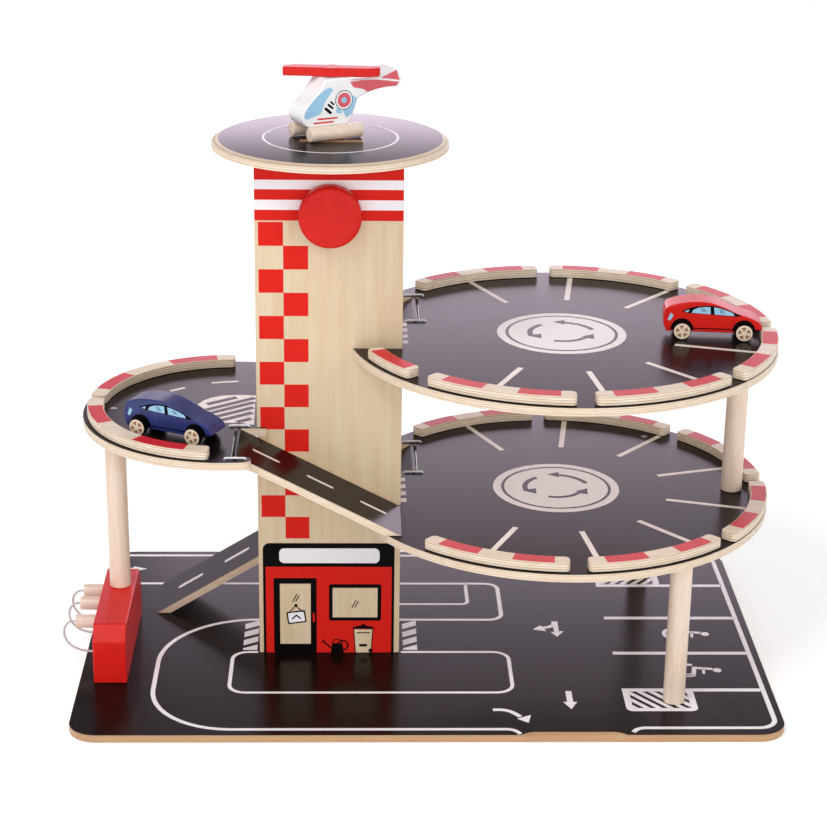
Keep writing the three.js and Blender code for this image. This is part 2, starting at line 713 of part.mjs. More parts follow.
function addFuelPump() {
  const profile = new THREE.Shape();
  profile.moveTo(0, 0);
  profile.lineTo(pumpLength, 0);
  profile.lineTo(pumpLength, pumpHeight - pumpFacet);
  profile.lineTo(pumpLength - pumpFacet, pumpHeight);
  profile.lineTo(pumpFacet, pumpHeight);
  profile.lineTo(0, pumpHeight - pumpFacet);
  const block = plate(profile, pumpWidth).rotateX(Math.PI / 2).rotateZ(Math.PI / 2);
  const nozzlePlaceShares = [0.398, 0.664, 0.8535];
  const nozzlePlaces = nozzlePlaceShares.map((share) => share * pumpLength);
  const sockets = nozzlePlaces.map((y) => {
    const socket = rodAlongX(nozzleRadius + runningGap, -cutOverrun, nozzleSocketDepth + seatGap, wheelSides);
    return socket.translate(0, y, nozzleRise - seatGap);
  });
  const pumpZ = boardThickness + seatGap;
  addPiece(garage, 'pump_block', cut(block, sockets), 'redPaint', pumpLeftX, pumpFrontY, pumpZ);
  const outerEnd = pumpLeftX - nozzleReach;
  nozzlePlaces.forEach((place, index) => {
    const y = pumpFrontY + place;
    const z = boardThickness + nozzleRise;
    const length = nozzleReach + nozzleSocketDepth;
    const peg = turnedAlongY([
      [0, 0],
      [nozzleRadius, 0],
      [nozzleRadius, length - nozzleEdge],
      [nozzleRadius - nozzleEdge, length],
      [0, length],
    ], wheelSides);
    peg.rotateZ(Math.PI / 2).translate(length, 0, 0);
    addPiece(garage, `nozzle_${index + 1}`, peg, 'birch', outerEnd, y, z);
    addPiece(garage, `hose_${index + 1}`, makeHose(), 'whiteCord', outerEnd, y, z);
  });
}

// Side view of a car, from the rear to the nose, as shares of its length and height.
const carSideShares = [
  [0.03, 0.17], [0, 0.36], [0, 0.62], [0.017, 0.79], [0.072, 0.88], [0.184, 0.96], [0.324, 1],
  [0.463, 0.985], [0.603, 0.867], [0.742, 0.703], [0.853, 0.616], [0.952, 0.502], [0.99, 0.4],
  [1, 0.3], [0.985, 0.272], [0.93, 0.262], [0.895, 0.17],
];

function makeCarBody() {
  const side = shapeFromShares(carSideShares, carLength, carHeight);
  const body = standingPlate(side, carWidth, carEdge).translate(-rearOverhang, 0, 0);
  const tunnel = rodAlongY(carAxleRadius + runningGap, -carWidth, carWidth, pinSides).translate(0, 0, wheelRadius);
  return cut(body, [tunnel, tunnel.clone().translate(wheelBase, 0, 0)]);
}

// Two wheels and their axle, turned about the axle's line.
function makeWheelset() {
  const inner = carWidth / 2 + wheelGap;
  const outer = inner + wheelThickness;
  return turnedAlongY([
    [0, -outer],
    [wheelRadius - wheelEdge, -outer],
    [wheelRadius, wheelEdge - outer],
    [wheelRadius, -inner],
    [carAxleRadius, -inner],
    [carAxleRadius, inner],
    [wheelRadius, inner],
    [wheelRadius, outer - wheelEdge],
    [wheelRadius - wheelEdge, outer],
    [0, outer],
  ], wheelSides);
}

function addCar(name, finish, rearAxleX, rearAxleY, deckTop, headingDegrees) {
  const car = addGroup(garage, rearAxleX, rearAxleY, deckTop + seatGap, headingDegrees);
  addPiece(car, `${name}_body`, makeCarBody(), finish);
  addPiece(car, `${name}_rear_wheels`, makeWheelset(), 'birch', 0, 0, wheelRadius);
  addPiece(car, `${name}_front_wheels`, makeWheelset(), 'birch', wheelBase, 0, wheelRadius);
}

// Side view of the helicopter, from the nose to the tail, as shares of its length and height.
const craftSideShares = [
  [0.063, 0], [0.022, 0.07], [0.002, 0.17], [0.006, 0.28], [0.038, 0.4], [0.096, 0.51], [0.152, 0.64],
  [0.205, 0.8], [0.245, craftRoofShare], [0.455, craftRoofShare], [0.486, 0.86], [0.64, 0.862], [0.8, 0.85], [0.957, 1],
  [1, 0.756], [0.962, 0.64], [0.84, 0.648], [0.72, 0.622], [0.655, 0.575], [0.556, 0.5], [0.497, 0.1],
  [0.438, 0],
];

function addHelicopter() {
  const craft = addGroup(garage, craftX, craftY, padTop + seatGap, craftTurnDegrees);
  const side = shapeFromShares(craftSideShares, craftLength, craftHeight);
  const body = standingPlate(side, craftWidth, craftEdge).translate(-craftNoseReach, 0, craftRise);
  const groove = rodAlongX(skidRadius + seatGap, -skidLength, skidLength, wheelSides);
  const grooves = [-skidSpacing / 2, skidSpacing / 2].map((y) => groove.clone().translate(0, y, skidRadius));
  const bodyTop = craftRise + craftRoofShare * craftHeight;
  const pinHole = rodAlongZ(rotorPinRadius + runningGap, bodyTop - rotorPinDepth - seatGap, bodyTop + cutOverrun,
    postSides).translate(rotorSetback, 0, 0);
  addPiece(craft, 'helicopter_body', cut(body, [...grooves, pinHole]), 'whitePaint');
  const skid = rodAlongX(skidRadius, -skidLength / 2, skidLength / 2, postSides);
  addPiece(craft, 'helicopter_left_skid', skid, 'birch', -skidLead, skidSpacing / 2, skidRadius);
  addPiece(craft, 'helicopter_right_skid', skid.clone(), 'birch', 0, -skidSpacing / 2, skidRadius);
  const rotor = addPiece(craft, 'helicopter_rotor', makeRotor(), 'redPaint', rotorSetback, 0, bodyTop + rotorLift);
  rotor.rotation.z = THREE.MathUtils.degToRad(rotorTurnDegrees);
}

// The rotor is a bar with two opposite corners cut off, a round hub and a pin into the body.
function makeRotor() {
  const x = rotorLength / 2;
  const y = rotorWidth / 2;
  const bar = new THREE.Shape([
    new THREE.Vector2(-x, -y),
    new THREE.Vector2(x - rotorCutLength, -y),
    new THREE.Vector2(x, rotorCutDepth - y),
    new THREE.Vector2(x, y),
    new THREE.Vector2(rotorCutLength - x, y),
    new THREE.Vector2(-x, y - rotorCutDepth),
  ]);
  const hub = rodAlongZ(rotorHubRadius, 0, rotorThickness, postSides);
  const pin = rodAlongZ(rotorPinRadius, -rotorLift - rotorPinDepth, rotorThickness / 2, postSides);
  return join(plate(bar, rotorThickness), [hub, pin]);
}

addPiece(garage, 'base_board', makeBaseBoard(), 'blackPaint');
makeTower();
addPiece(garage, 'lift_car', makeLiftCar(), 'birch', towerCentreX, 0, boardThickness + seatGap);
addPiece(garage, 'winding_axle', makeWindingAxle(), 'birch', windingX, 0, windingZ);
addPiece(garage, 'knob', makeKnob(), 'redPaint', windingX, towerFront - knobStandOff, windingZ);
addPiece(garage, 'helipad', makeHelipad(), 'blackPaint', windingX, 0, towerTop + seatGap);
addDecks();
addRampWithHinge('ground', lowerDeckTop, boardThickness, backHingeX, backRampY, groundRampRun, -1);
addRampWithHinge('rear', upperDeckTop, halfDeckTop, backHingeX, backRampY, halfRampRun, -1);
addRampWithHinge('front', halfDeckTop, lowerDeckTop, frontHingeX, frontRampY, halfRampRun, 1);
addPosts();
addFuelPump();
const redCarX = discCentreX + discRadius - redCarInset;
addCar('red_car', 'redPaint', redCarX, discCentreY + redCarOffset, upperDeckTop, redCarTurnDegrees);
const blueCarX = halfDeckCentreX - halfDeckRadius + blueCarInset;
addCar('blue_car', 'bluePaint', blueCarX, halfDeckCentreY - blueCarOffset, halfDeckTop, blueCarTurnDegrees);
addHelicopter();

export default garage;
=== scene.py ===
import math

import bmesh
import bpy
from mathutils import Matrix, Vector, geometry


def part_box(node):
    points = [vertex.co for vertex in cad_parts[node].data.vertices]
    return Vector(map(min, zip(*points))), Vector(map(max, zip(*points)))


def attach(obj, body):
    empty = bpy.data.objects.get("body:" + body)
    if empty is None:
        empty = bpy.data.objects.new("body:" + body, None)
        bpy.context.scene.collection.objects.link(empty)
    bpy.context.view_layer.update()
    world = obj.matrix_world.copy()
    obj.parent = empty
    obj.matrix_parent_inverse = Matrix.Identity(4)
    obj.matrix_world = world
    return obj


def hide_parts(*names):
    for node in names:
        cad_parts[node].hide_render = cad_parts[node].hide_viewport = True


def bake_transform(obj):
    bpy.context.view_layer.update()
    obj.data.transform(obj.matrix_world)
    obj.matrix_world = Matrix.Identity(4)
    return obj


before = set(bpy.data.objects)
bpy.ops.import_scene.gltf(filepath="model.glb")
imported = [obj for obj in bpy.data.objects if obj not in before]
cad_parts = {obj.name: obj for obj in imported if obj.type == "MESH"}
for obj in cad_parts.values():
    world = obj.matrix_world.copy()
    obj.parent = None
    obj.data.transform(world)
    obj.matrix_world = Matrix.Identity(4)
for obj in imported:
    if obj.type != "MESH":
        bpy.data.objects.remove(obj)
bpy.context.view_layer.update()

mm = 0.001  # the sizes below are millimetres and degrees, the meshes are metres
print("toy parking garage: frame loaded")

# Camera, as the photograph was taken

camera = dict(place=(-63.1, -1744.8, 873.25), pitch=20.456, yaw=-1.708, roll=0.781,
              focalPixels=2132.0, imagePixels=827, sensor=36.0)


def makeCamera():
    pitch, yaw, roll = (math.radians(camera[key]) for key in ("pitch", "yaw", "roll"))
    turn = Matrix.Rotation(-yaw, 3, "Z").transposed()
    tip = Matrix(((1, 0, 0), (0, -math.sin(pitch), -math.cos(pitch)), (0, math.cos(pitch), -math.sin(pitch))))
    lean = Matrix.Rotation(roll, 3, "Z")
    right, down, ahead = lean @ tip @ turn.transposed()
    data = bpy.data.cameras.new("camera")
    data.sensor_width = camera["sensor"]
    data.lens = camera["focalPixels"] / camera["imagePixels"] * camera["sensor"]
    data.clip_end = 200
    eye = bpy.data.objects.new("camera", data)
    bpy.context.collection.objects.link(eye)
    look = Matrix((right, -down, -ahead)).transposed().to_4x4()
    eye.matrix_world = Matrix.Translation(Vector(camera["place"]) * mm) @ look
    bpy.context.scene.camera = eye


makeCamera()

# Small tools for meshes


def newPiece(name, bm, finishes, limit=38):
    # edges that turn by more than the limit, in degrees, show as sharp
    for face in bm.faces:
        face.smooth = True
    for edge in bm.edges:
        edge.smooth = edge.calc_face_angle(0) < math.radians(limit)
    mesh = bpy.data.meshes.new(name)
    bm.to_mesh(mesh)
    bm.free()
    for finish in finishes:
        mesh.materials.append(finish)
    piece = bpy.data.objects.new(name, mesh)
    bpy.context.collection.objects.link(piece)
    return piece


def evenlyShaded(piece):
    even = piece.modifiers.new("evenShading", "WEIGHTED_NORMAL")
    even.keep_sharp = True
    return piece


def softenEdges(piece, width, segments=2, limit=38):
    bevel = piece.modifiers.new("easedEdges", "BEVEL")
    bevel.width = width * mm
    bevel.segments = segments
    bevel.limit_method = "ANGLE"
    bevel.angle_limit = math.radians(limit)
    return evenlyShaded(piece)


def settle(piece, body, slot, *nodes):
    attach(piece, body)
    if nodes:
        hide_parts(*nodes)
    return piece


def bridge(bm, low, high):
    # the faces that join two loops with as many points
    following = [*range(1, len(low)), 0]
    return [bm.faces.new((low[i], low[j], high[j], high[i])) for i, j in enumerate(following)]


def addPrism(bm, outer, holes=(), place=Matrix(), low=-0.02, high=0.12, finish=0):
    # a flat outline, with its holes, given a thickness; the outline is in millimetres
    loops = [[Vector((x, y, 0)) for x, y in loop] for loop in (outer, *holes)]
    flat = [point for loop in loops for point in loop]
    foot, top = ([bm.verts.new((place @ (p + Vector((0, 0, h)))) * mm) for p in flat] for h in (low, high))
    faces = []
    for a, b, c in geometry.tessellate_polygon(loops):
        faces.append(bm.faces.new([top[i] for i in (a, b, c)]))
        faces.append(bm.faces.new([foot[i] for i in (c, b, a)]))
    start = 0
    for loop in loops:
        end = start + len(loop)
        faces += bridge(bm, foot[start:end], top[start:end])
        start = end
    for face in faces:
        face.material_index = finish
    bmesh.ops.recalc_face_normals(bm, faces=faces)


secondFilm = dict(low=0.1, high=0.16, finish=1)  # ink over a first film, in the piece's second colour


def arc(x, y, radius, start, end, steps=12):
    angles = [math.radians(start + (end - start) * i / steps) for i in range(steps + 1)]
    return [(x + radius * math.cos(a), y + radius * math.sin(a)) for a in angles]


def circle(x, y, radius, steps=64):
    return arc(x, y, radius, 0, 360, steps)[:-1]


def roundedBox(left, front, right, back, radius, steps=6):
    r = radius
    return (arc(right - r, back - r, r, 0, 90, steps) + arc(left + r, back - r, r, 90, 180, steps)
            + arc(left + r, front + r, r, 180, 270, steps) + arc(right - r, front + r, r, 270, 360, steps))


def box2(left, front, right, back):
    return [(left, front), (right, front), (right, back), (left, back)]


def stroke(points, width):
    # the outline of a line of one width along the points
    sides = ([], [])
    for i, point in enumerate(points):
        here, before = Vector(point), Vector(points[max(i - 1, 0)])
        after = Vector(points[min(i + 1, len(points) - 1)])
        first = (here - before).normalized() if before != here else None
        last = (after - here).normalized() if after != here else None
        first, last = first or last, last or first
        normal = Vector((-(first.y + last.y), first.x + last.x)).normalized()
        reach = width / 2 / max(0.4, normal.dot(Vector((-last.y, last.x))))
        sides[0].append(tuple(here + normal * reach))
        sides[1].append(tuple(here - normal * reach))
    return sides[0] + sides[1][::-1]


def dash(x0, y0, x1, y1, width, steps=6):
    # a bar with round ends
    angle = math.degrees(math.atan2(y1 - y0, x1 - x0))
    r = width / 2
    return arc(x0, y0, r, angle + 90, angle + 270, steps) + arc(x1, y1, r, angle - 90, angle + 90, steps)


def spline(points, steps):
    # a smooth line through the points (centripetal Catmull-Rom)
    pts = [Vector(p) for p in points]
    last = len(pts) - 1
    line = []
    for i in range(last):
        b, c = pts[i], pts[i + 1]
        a = pts[i - 1] if i else b * 2 - c
        d = pts[i + 2] if i < last - 1 else c * 2 - b
        t0, t1 = 0, max(1e-6, (b - a).length) ** 0.5
        t2 = t1 + max(1e-6, (c - b).length) ** 0.5
        t3 = t2 + max(1e-6, (d - c).length) ** 0.5
        for k in range(steps):
            t = t1 + (t2 - t1) * k / steps
            p = a * ((t1 - t) / (t1 - t0)) + b * ((t - t0) / (t1 - t0))
            q = b * ((t2 - t) / (t2 - t1)) + c * ((t - t1) / (t2 - t1))
            r = c * ((t3 - t) / (t3 - t2)) + d * ((t - t2) / (t3 - t2))
            u = p * ((t2 - t) / (t2 - t0)) + q * ((t - t0) / (t2 - t0))
            v = q * ((t3 - t) / (t3 - t1)) + r * ((t - t1) / (t3 - t1))
            line.append(u * ((t2 - t) / (t2 - t1)) + v * ((t - t1) / (t2 - t1)))
    return line + [pts[-1]]


def addLathe(bm, profile, place=Matrix(), sides=48, finish=0, rims=()):
    # a profile of (distance from the axis, height) turned about the local Z axis; rims maps steps to finishes
    rings = []
    for radius, height in profile:
        if radius == 0:
            rings.append([bm.verts.new((place @ Vector((0, 0, height))) * mm)])
            continue
        turn = [2 * math.pi * i / sides for i in range(sides)]
        ring = [Vector((radius * math.cos(a), radius * math.sin(a), height)) for a in turn]
        rings.append([bm.verts.new((place @ p) * mm) for p in ring])
    faces = []
    for step, (low, high) in enumerate(zip(rings, rings[1:])):
        for i in range(sides):
            j = (i + 1) % sides
            corners = [low[i % len(low)], low[j % len(low)], high[j % len(high)], high[i % len(high)]]
            face = bm.faces.new(list(dict.fromkeys(corners)))
            face.material_index = dict(rims).get(step, finish)
            faces.append(face)
    bmesh.ops.recalc_face_normals(bm, faces=faces)
    return faces


def roundedRod(radius, start, end, edge, steps=3):
    turn = [math.radians(90 * i / steps) for i in range(steps + 1)]
    foot = [(radius - edge + edge * math.sin(a), start + edge - edge * math.cos(a)) for a in turn]
    head = [(radius - edge + edge * math.cos(a), end - edge + edge * math.sin(a)) for a in turn]
    return [(0, start)] + foot + head + [(0, end)]


def addTube(bm, line, radius, sides):
    # a round tube along a line of points in millimetres, its frame carried along so that it doesn't twist
    points = [Vector(p) for p in line]
    end = len(points) - 1
    ahead = [(points[min(i + 1, end)] - points[max(i - 1, 0)]).normalized() for i in range(end + 1)]
    side = ahead[0].orthogonal().normalized()
    turn = [2 * math.pi * k / sides for k in range(sides)]
    rings = []
    along = 0
    layer = bm.loops.layers.uv.new("route")
    marks = []
    for i, point in enumerate(points):
        side = (side - ahead[i] * side.dot(ahead[i])).normalized()
        up = ahead[i].cross(side)
        along += (point - points[i - 1]).length if i else 0
        marks.append(along)
        ring = [point + (side * math.cos(a) + up * math.sin(a)) * radius for a in turn]
        rings.append([bm.verts.new(p * mm) for p in ring])
    faces = [bm.faces.new(rings[0][::-1]), bm.faces.new(rings[-1])]
    for i in range(len(rings) - 1):
        for k in range(sides):
            j = (k + 1) % sides
            face = bm.faces.new((rings[i][k], rings[i][j], rings[i + 1][j], rings[i + 1][k]))
            for loop, (u, v) in zip(face.loops, ((k, i), (k + 1, i), (k + 1, i + 1), (k, i + 1))):
                loop[layer].uv = (u / sides, marks[v] * mm)
            faces.append(face)
    bmesh.ops.recalc_face_normals(bm, faces=faces)
    return marks[-1]


def upright(x, y, z, heading=0):
    return Matrix.Translation((x, y, z)) @ Matrix.Rotation(math.radians(heading), 4, "Z")


def along(axis, centre):
    # turns the local Z axis to the given direction
    turn = Vector((0, 0, 1)).rotation_difference(Vector(axis)).to_matrix().to_4x4()
    return Matrix.Translation(centre) @ turn


def standing(place, y, flip):
    # a drawing of (along, up) set on the plane at y of a standing piece
    return place @ Matrix(((1, 0, 0, 0), (0, 0, flip, y), (0, 1, 0, 0), (0, 0, 0, 1)))


def middleOf(node):
    low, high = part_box(node)
    return (low + high) / 2 / mm, (high - low) / mm


# Materials


def linear(code):
    parts = [int(code[i:i + 2], 16) / 255 for i in (1, 3, 5)]
    return [p / 12.92 if p <= 0.04045 else ((p + 0.055) / 1.055) ** 2.4 for p in parts] + [1.0]


def addNode(tree, kind, settings=None, values=None, links=None):
    node = tree.nodes.new(kind)
    for key, value in (settings or {}).items():
        setattr(node, key, value)
    for key, value in (values or {}).items():
        node.inputs[key].default_value = value
    for key, source in (links or {}).items():
        tree.links.new(source, node.inputs[key])
    return node


def startMaterial(name, **values):
    material = bpy.data.materials.new(name)
    material.use_nodes = True
    tree = material.node_tree
    shader = tree.nodes["Principled BSDF"]
    for key, value in values.items():
        shader.inputs[key.replace("_", " ")].default_value = value
    return material, tree, shader


def scaledNoise(tree, sizes, detail=3.0, roughness=0.5):
    # a noise whose features are as long as the three sizes, in millimetres
    place = addNode(tree, "ShaderNodeTexCoord")
    scale = addNode(tree, "ShaderNodeMapping", values={"Scale": [1 / (s * mm) for s in sizes]},
                    links={"Vector": place.outputs["Object"]})
    values = {"Scale": 1.0, "Detail": detail, "Roughness": roughness}
    return addNode(tree, "ShaderNodeTexNoise", values=values, links={"Vector": scale.outputs["Vector"]})


def blendColours(tree, factor, first, second):
    mix = addNode(tree, "ShaderNodeMix", {"data_type": "RGBA"})
    for socket, value in ((mix.inputs[0], factor), (mix.inputs[6], first), (mix.inputs[7], second)):
        if isinstance(value, bpy.types.NodeSocket):
            tree.links.new(value, socket)
        else:
            socket.default_value = value
    return mix.outputs[2]


def ramp(tree, source, stops):
    node = addNode(tree, "ShaderNodeValToRGB", links={"Fac": source})
    elements = node.color_ramp.elements
    for element, (place, colour) in zip(elements, stops):
        element.position = place
        element.color = colour if isinstance(colour, (list, tuple)) else (colour, colour, colour, 1)
    return node.outputs["Color"]


def bumpFrom(tree, shader, height, depth):
    node = addNode(tree, "ShaderNodeBump", values={"Distance": depth * mm}, links={"Height": height})
    tree.links.new(node.outputs["Normal"], shader.inputs["Normal"])


def grainSizes(across, along, axis):
    sizes = [across, across, across]
    sizes["XYZ".index(axis)] = along
    return sizes


def makeWood(name, wood):
    # clear-lacquered timber: pale, with faint long streaks and a low silky gloss
    material, tree, shader = startMaterial(name, Roughness=wood["roughness"], IOR=1.5, Coat_Weight=0.15,
                                           Coat_Roughness=0.25)
    figure = scaledNoise(tree, grainSizes(wood["figure"], wood["figure"] * 14, wood["axis"]), 4.0)
    fibre = scaledNoise(tree, grainSizes(wood["fibre"], wood["fibre"] * 30, wood["axis"]), 2.0, 0.6)
    base = ramp(tree, figure.outputs["Fac"], [(0.32, linear(wood["pale"])), (0.7, linear(wood["deep"]))])
    streak = ramp(tree, fibre.outputs["Fac"], [(0.3, 0.0), (0.75, wood["streak"])])
    colour = blendColours(tree, streak, base, linear(wood["line"]))
    if "fleck" in wood:
        spots = scaledNoise(tree, grainSizes(0.5, 2.6, wood["axis"]), 1.0)
        mask = ramp(tree, spots.outputs["Fac"], [(0.66, 0.0), (0.72, wood["fleck"])])
        colour = blendColours(tree, mask, colour, linear(wood["line"]))
    if "layer" in wood:
        colour = addLayers(tree, wood, colour)
    tree.links.new(colour, shader.inputs["Base Color"])
    bumpFrom(tree, shader, fibre.outputs["Fac"], 0.05)
    return material


def addLayers(tree, wood, colour):
    # plies seen on a cut edge: end grain and long grain in turn, with a thin glue line between
    height = addNode(tree, "ShaderNodeAttribute", {"attribute_name": "plyHeight"})
    wave = scaledNoise(tree, (9, 9, 9), 2.0)
    shift = addNode(tree, "ShaderNodeMath", {"operation": "MULTIPLY_ADD"}, {1: 0.25 * mm, 2: -0.125 * mm},
                    {0: wave.outputs["Fac"]})
    moved = addNode(tree, "ShaderNodeMath", {"operation": "ADD"},
                    links={0: height.outputs["Fac"], 1: shift.outputs[0]})
    plies = addNode(tree, "ShaderNodeMath", {"operation": "DIVIDE"}, {1: wood["layer"] * mm},
                    {0: moved.outputs[0]})
    part = addNode(tree, "ShaderNodeMath", {"operation": "PINGPONG"}, {1: 1.0}, {0: plies.outputs[0]})
    half = addNode(tree, "ShaderNodeMath", {"operation": "FRACT"}, links={0: plies.outputs[0]})
    edge = addNode(tree, "ShaderNodeMath", {"operation": "PINGPONG"}, {1: 0.5}, {0: half.outputs[0]})
    glue = ramp(tree, edge.outputs[0], [(0.06, wood["glue"]), (0.15, 0.0)])
    crossed = ramp(tree, part.outputs[0], [(0.46, 0.0), (0.54, wood["crossed"])])
    colour = blendColours(tree, crossed, colour, linear(wood["endGrain"]))
    return blendColours(tree, glue, colour, linear(wood["line"]))


# Birch plywood, rotary cut and clear lacquered: even, pale, long soft streaks up the panel
birch = dict(pale="#e6d2b4", deep="#dcc29c", line="#c09a70", figure=9, fibre=0.7, streak=0.22, axis="Z",
             roughness=0.42)
birchFace = makeWood("birchVeneer", birch)
birchFlat = makeWood("birchVeneerFlat", dict(birch, axis="X"))
# Birch plywood edge, sanded: pale plies with thin darker glue lines
edgeWood = dict(birch, pale="#f7ead8", deep="#eedac0", fibre=0.5, figure=5, streak=0.18, layer=1.9, glue=0.6,
                crossed=0.3, endGrain="#dcbd97", line="#a67a55", axis="X", roughness=0.5)
plyEdge = makeWood("birchPlyEdge", edgeWood)
railPly = makeWood("birchRailPly", dict(edgeWood, layer=2.3, pale="#fbf1e2", glue=0.75))
boardEdge = makeWood("baseBoardEdge", dict(edgeWood, pale="#c9a27a", deep="#bd946b", endGrain="#b0875f",
                                           glue=0.25))
# Beech, turned and lacquered: warm straw with short dark rays along the grain
beech = dict(pale="#fae8d8", deep="#efd6c0", line="#bb8c62", figure=5, fibre=0.6, streak=0.25, fleck=0.4,
             axis="Z", roughness=0.4)
turnedBeech = makeWood("turnedBeech", beech)
turnedBeechX = makeWood("turnedBeechAlong", dict(beech, axis="X", pale="#f7e8da", deep="#eed6c2"))
# Lime, turned: the cars' wheels
limeWood = dict(beech, pale="#f6e9d6", deep="#ecd8bd", axis="Y", figure=3, fleck=0.25)
wheelWood = makeWood("turnedLimeWheel", limeWood)


def makeBlackLacquer():
    # sprayed satin lacquer over birch: deep brown-black that takes a soft, pale violet sheen from the softbox
    material, tree, shader = startMaterial("blackLacquer", IOR=1.5, Specular_IOR_Level=0.12,
                                           Specular_Tint=(0.95, 0.8, 1.0, 1.0))
    cloud = scaledNoise(tree, (14, 14, 14))
    grain = scaledNoise(tree, (40, 1.1, 1.1), 3.0, 0.6)  # veneer grain that shows through the spray
    colour = ramp(tree, cloud.outputs["Fac"], [(0.3, linear("#110b09")), (0.7, linear("#19110e"))])
    gloss = ramp(tree, grain.outputs["Fac"], [(0.3, 0.2), (0.75, 0.25)])
    tree.links.new(colour, shader.inputs["Base Color"])
    tree.links.new(gloss, shader.inputs["Roughness"])
    bumpFrom(tree, shader, grain.outputs["Fac"], 0.003)
    return material


def makePaint(name, code, deep, roughness, pore, relief=0.02, sheen=0.5):
    # brushed or sprayed colour over solid wood: even, with the wood's pores just telling
    material, tree, shader = startMaterial(name, Roughness=roughness, IOR=1.5, Specular_IOR_Level=sheen,
                                           Coat_Weight=0.06, Coat_Roughness=roughness * 0.6)
    cloud = scaledNoise(tree, (8, 8, 8))
    pores = scaledNoise(tree, (1.6, 0.5, 0.5), 2.0, 0.7)
    colour = ramp(tree, cloud.outputs["Fac"], [(0.35, linear(code)), (0.75, linear(deep))])
    dots = ramp(tree, pores.outputs["Fac"], [(0.56, 0.0), (0.72, pore)])
    tree.links.new(blendColours(tree, dots, colour, linear(deep)), shader.inputs["Base Color"])
    bumpFrom(tree, shader, pores.outputs["Fac"], relief)
    return material


def makeMottled(name, code, deep, noise, turns, **values):
    # an even colour that drifts towards a second one, with a faint relief of the same pattern
    material, tree, shader = startMaterial(name, **values)
    mottle = scaledNoise(tree, *noise)
    colour = ramp(tree, mottle.outputs["Fac"], [(turns[0], linear(code)), (turns[1], linear(deep))])
    tree.links.new(colour, shader.inputs["Base Color"])
    bumpFrom(tree, shader, mottle.outputs["Fac"], 0.01)
    return material


def makeInk(name, code, deep, roughness=0.32, sheen=0.5):
    # screen-printed ink: a thin flat film with a faint mottle
    return makeMottled(name, code, deep, ((2.2, 2.2, 2.2), 4.0, 0.65), (0.35, 0.72), Roughness=roughness,
                       IOR=1.48, Specular_IOR_Level=sheen)


def makeCottonCord():
    # braided elastic cord: white yarns crossing in small diamonds, matte with a soft sheen
    material, tree, shader = startMaterial("braidedWhiteCord", Roughness=0.75, IOR=1.46)
    shader.inputs["Sheen Weight"].default_value = 0.3
    place = addNode(tree, "ShaderNodeTexCoord")
    scale = addNode(tree, "ShaderNodeMapping", values={"Scale": (6.0, 1 / (1.1 * mm), 1.0)},
                    links={"Vector": place.outputs["UV"]})
    checks = addNode(tree, "ShaderNodeMapping", values={"Rotation": (0, 0, math.radians(45))},
                     links={"Vector": scale.outputs["Vector"]})
    weave = addNode(tree, "ShaderNodeTexVoronoi", {"feature": "F1", "distance": "CHEBYCHEV"},
                    {"Scale": 1.0, "Randomness": 0.0}, {"Vector": checks.outputs["Vector"]})
    colour = ramp(tree, weave.outputs["Distance"], [(0.2, linear("#e6e1df")), (0.55, linear("#948d8c"))])
    tree.links.new(colour, shader.inputs["Base Color"])
    depth = addNode(tree, "ShaderNodeMath", {"operation": "SUBTRACT"}, {0: 1.0},
                    {1: weave.outputs["Distance"]})
    bumpFrom(tree, shader, depth.outputs[0], 0.15)
    return material


blackLacquer = makeBlackLacquer()
redPaint = makePaint("redGlossPaint", "#da2019", "#d01d17", 0.34, 0.25, sheen=0.16)
bluePaint = makePaint("blueGlossPaint", "#29347a", "#1e2659", 0.34, 0.8, 0.04)
whitePaint = makePaint("whiteGlossPaint", "#fbfafb", "#f4f3f4", 0.3, 0.2)
redInk = makeInk("redInk", "#df241a", "#d92018", 0.5, 0.12)
railRed = makeInk("railRedInk", "#dc222c", "#d21f28", 0.4, 0.25)
whiteInk = makeInk("whiteInk", "#fbf8fb", "#f3eef3")
blackInk = makeInk("blackInk", "#050404", "#0a0808", 0.55, 0.08)
skyInk = makeInk("skyBlueInk", "#a6d3ee", "#8fc2e6")
roseInk = makeInk("roseInk", "#e2606a", "#d4525e")
brownInk = makeInk("brownInk", "#a9805f", "#8c6248")
bareMark = makeInk("bareBirchMark", "#f6ebe2", "#eee0d4", 0.36)
discMark = makeInk("whiteDiscInk", "#f3ece8", "#eee5e0", 0.4)
# Drawn steel wire, zinc bright: white highlights and dark reflections, fine draw marks along it
steelWire = makeMottled("brightSteelWire", "#f2f2f4", "#dfe0e3", [(0.4, 3.0, 0.4)], (0.3, 0.75), Metallic=1.0,
                        Roughness=0.42)
# Steel wire coloured near white all over: a painted highlight standing for the bright sheen of the metal;
# smooth, with a soft highlight along it
highlightWhiteWire = makeMottled("wireWhitePaintedHighlight", "#f8f8fa", "#ebebee", [(3.0, 0.6, 0.6)], (0.3, 0.75),
                        Roughness=0.3, IOR=1.5)
cottonCord = makeCottonCord()
print("materials made")

# Hoses of the fuel pumps: the cords come first among the pieces

hoses = dict(radius=1.0, stepsBetween=6, sides=12, blendLow=-21.0, blendHigh=-2.0,
             route=[(-0.3, 0, 0), (-2.4, -0.1, 0), (-4.6, -0.3, -0.4), (-6.8, -0.7, -1.5), (-8.6, -1.2, -3.3),
                    (-9.8, -1.9, -5.7), (-10.3, -2.7, -8.5), (-10.1, -3.6, -11.5), (-9.1, -4.6, -14.5),
                    (-7.3, -5.6, -17.3), (-4.7, -6.6, -19.8), (-1.3, -7.6, -21.8), (2.7, -8.5, -23.2),
                    (7.2, -9.2, -24.1), (12, -9.7, -24.5), (16.6, -9.9, -24.6), (20.7, -10, -24.6)])


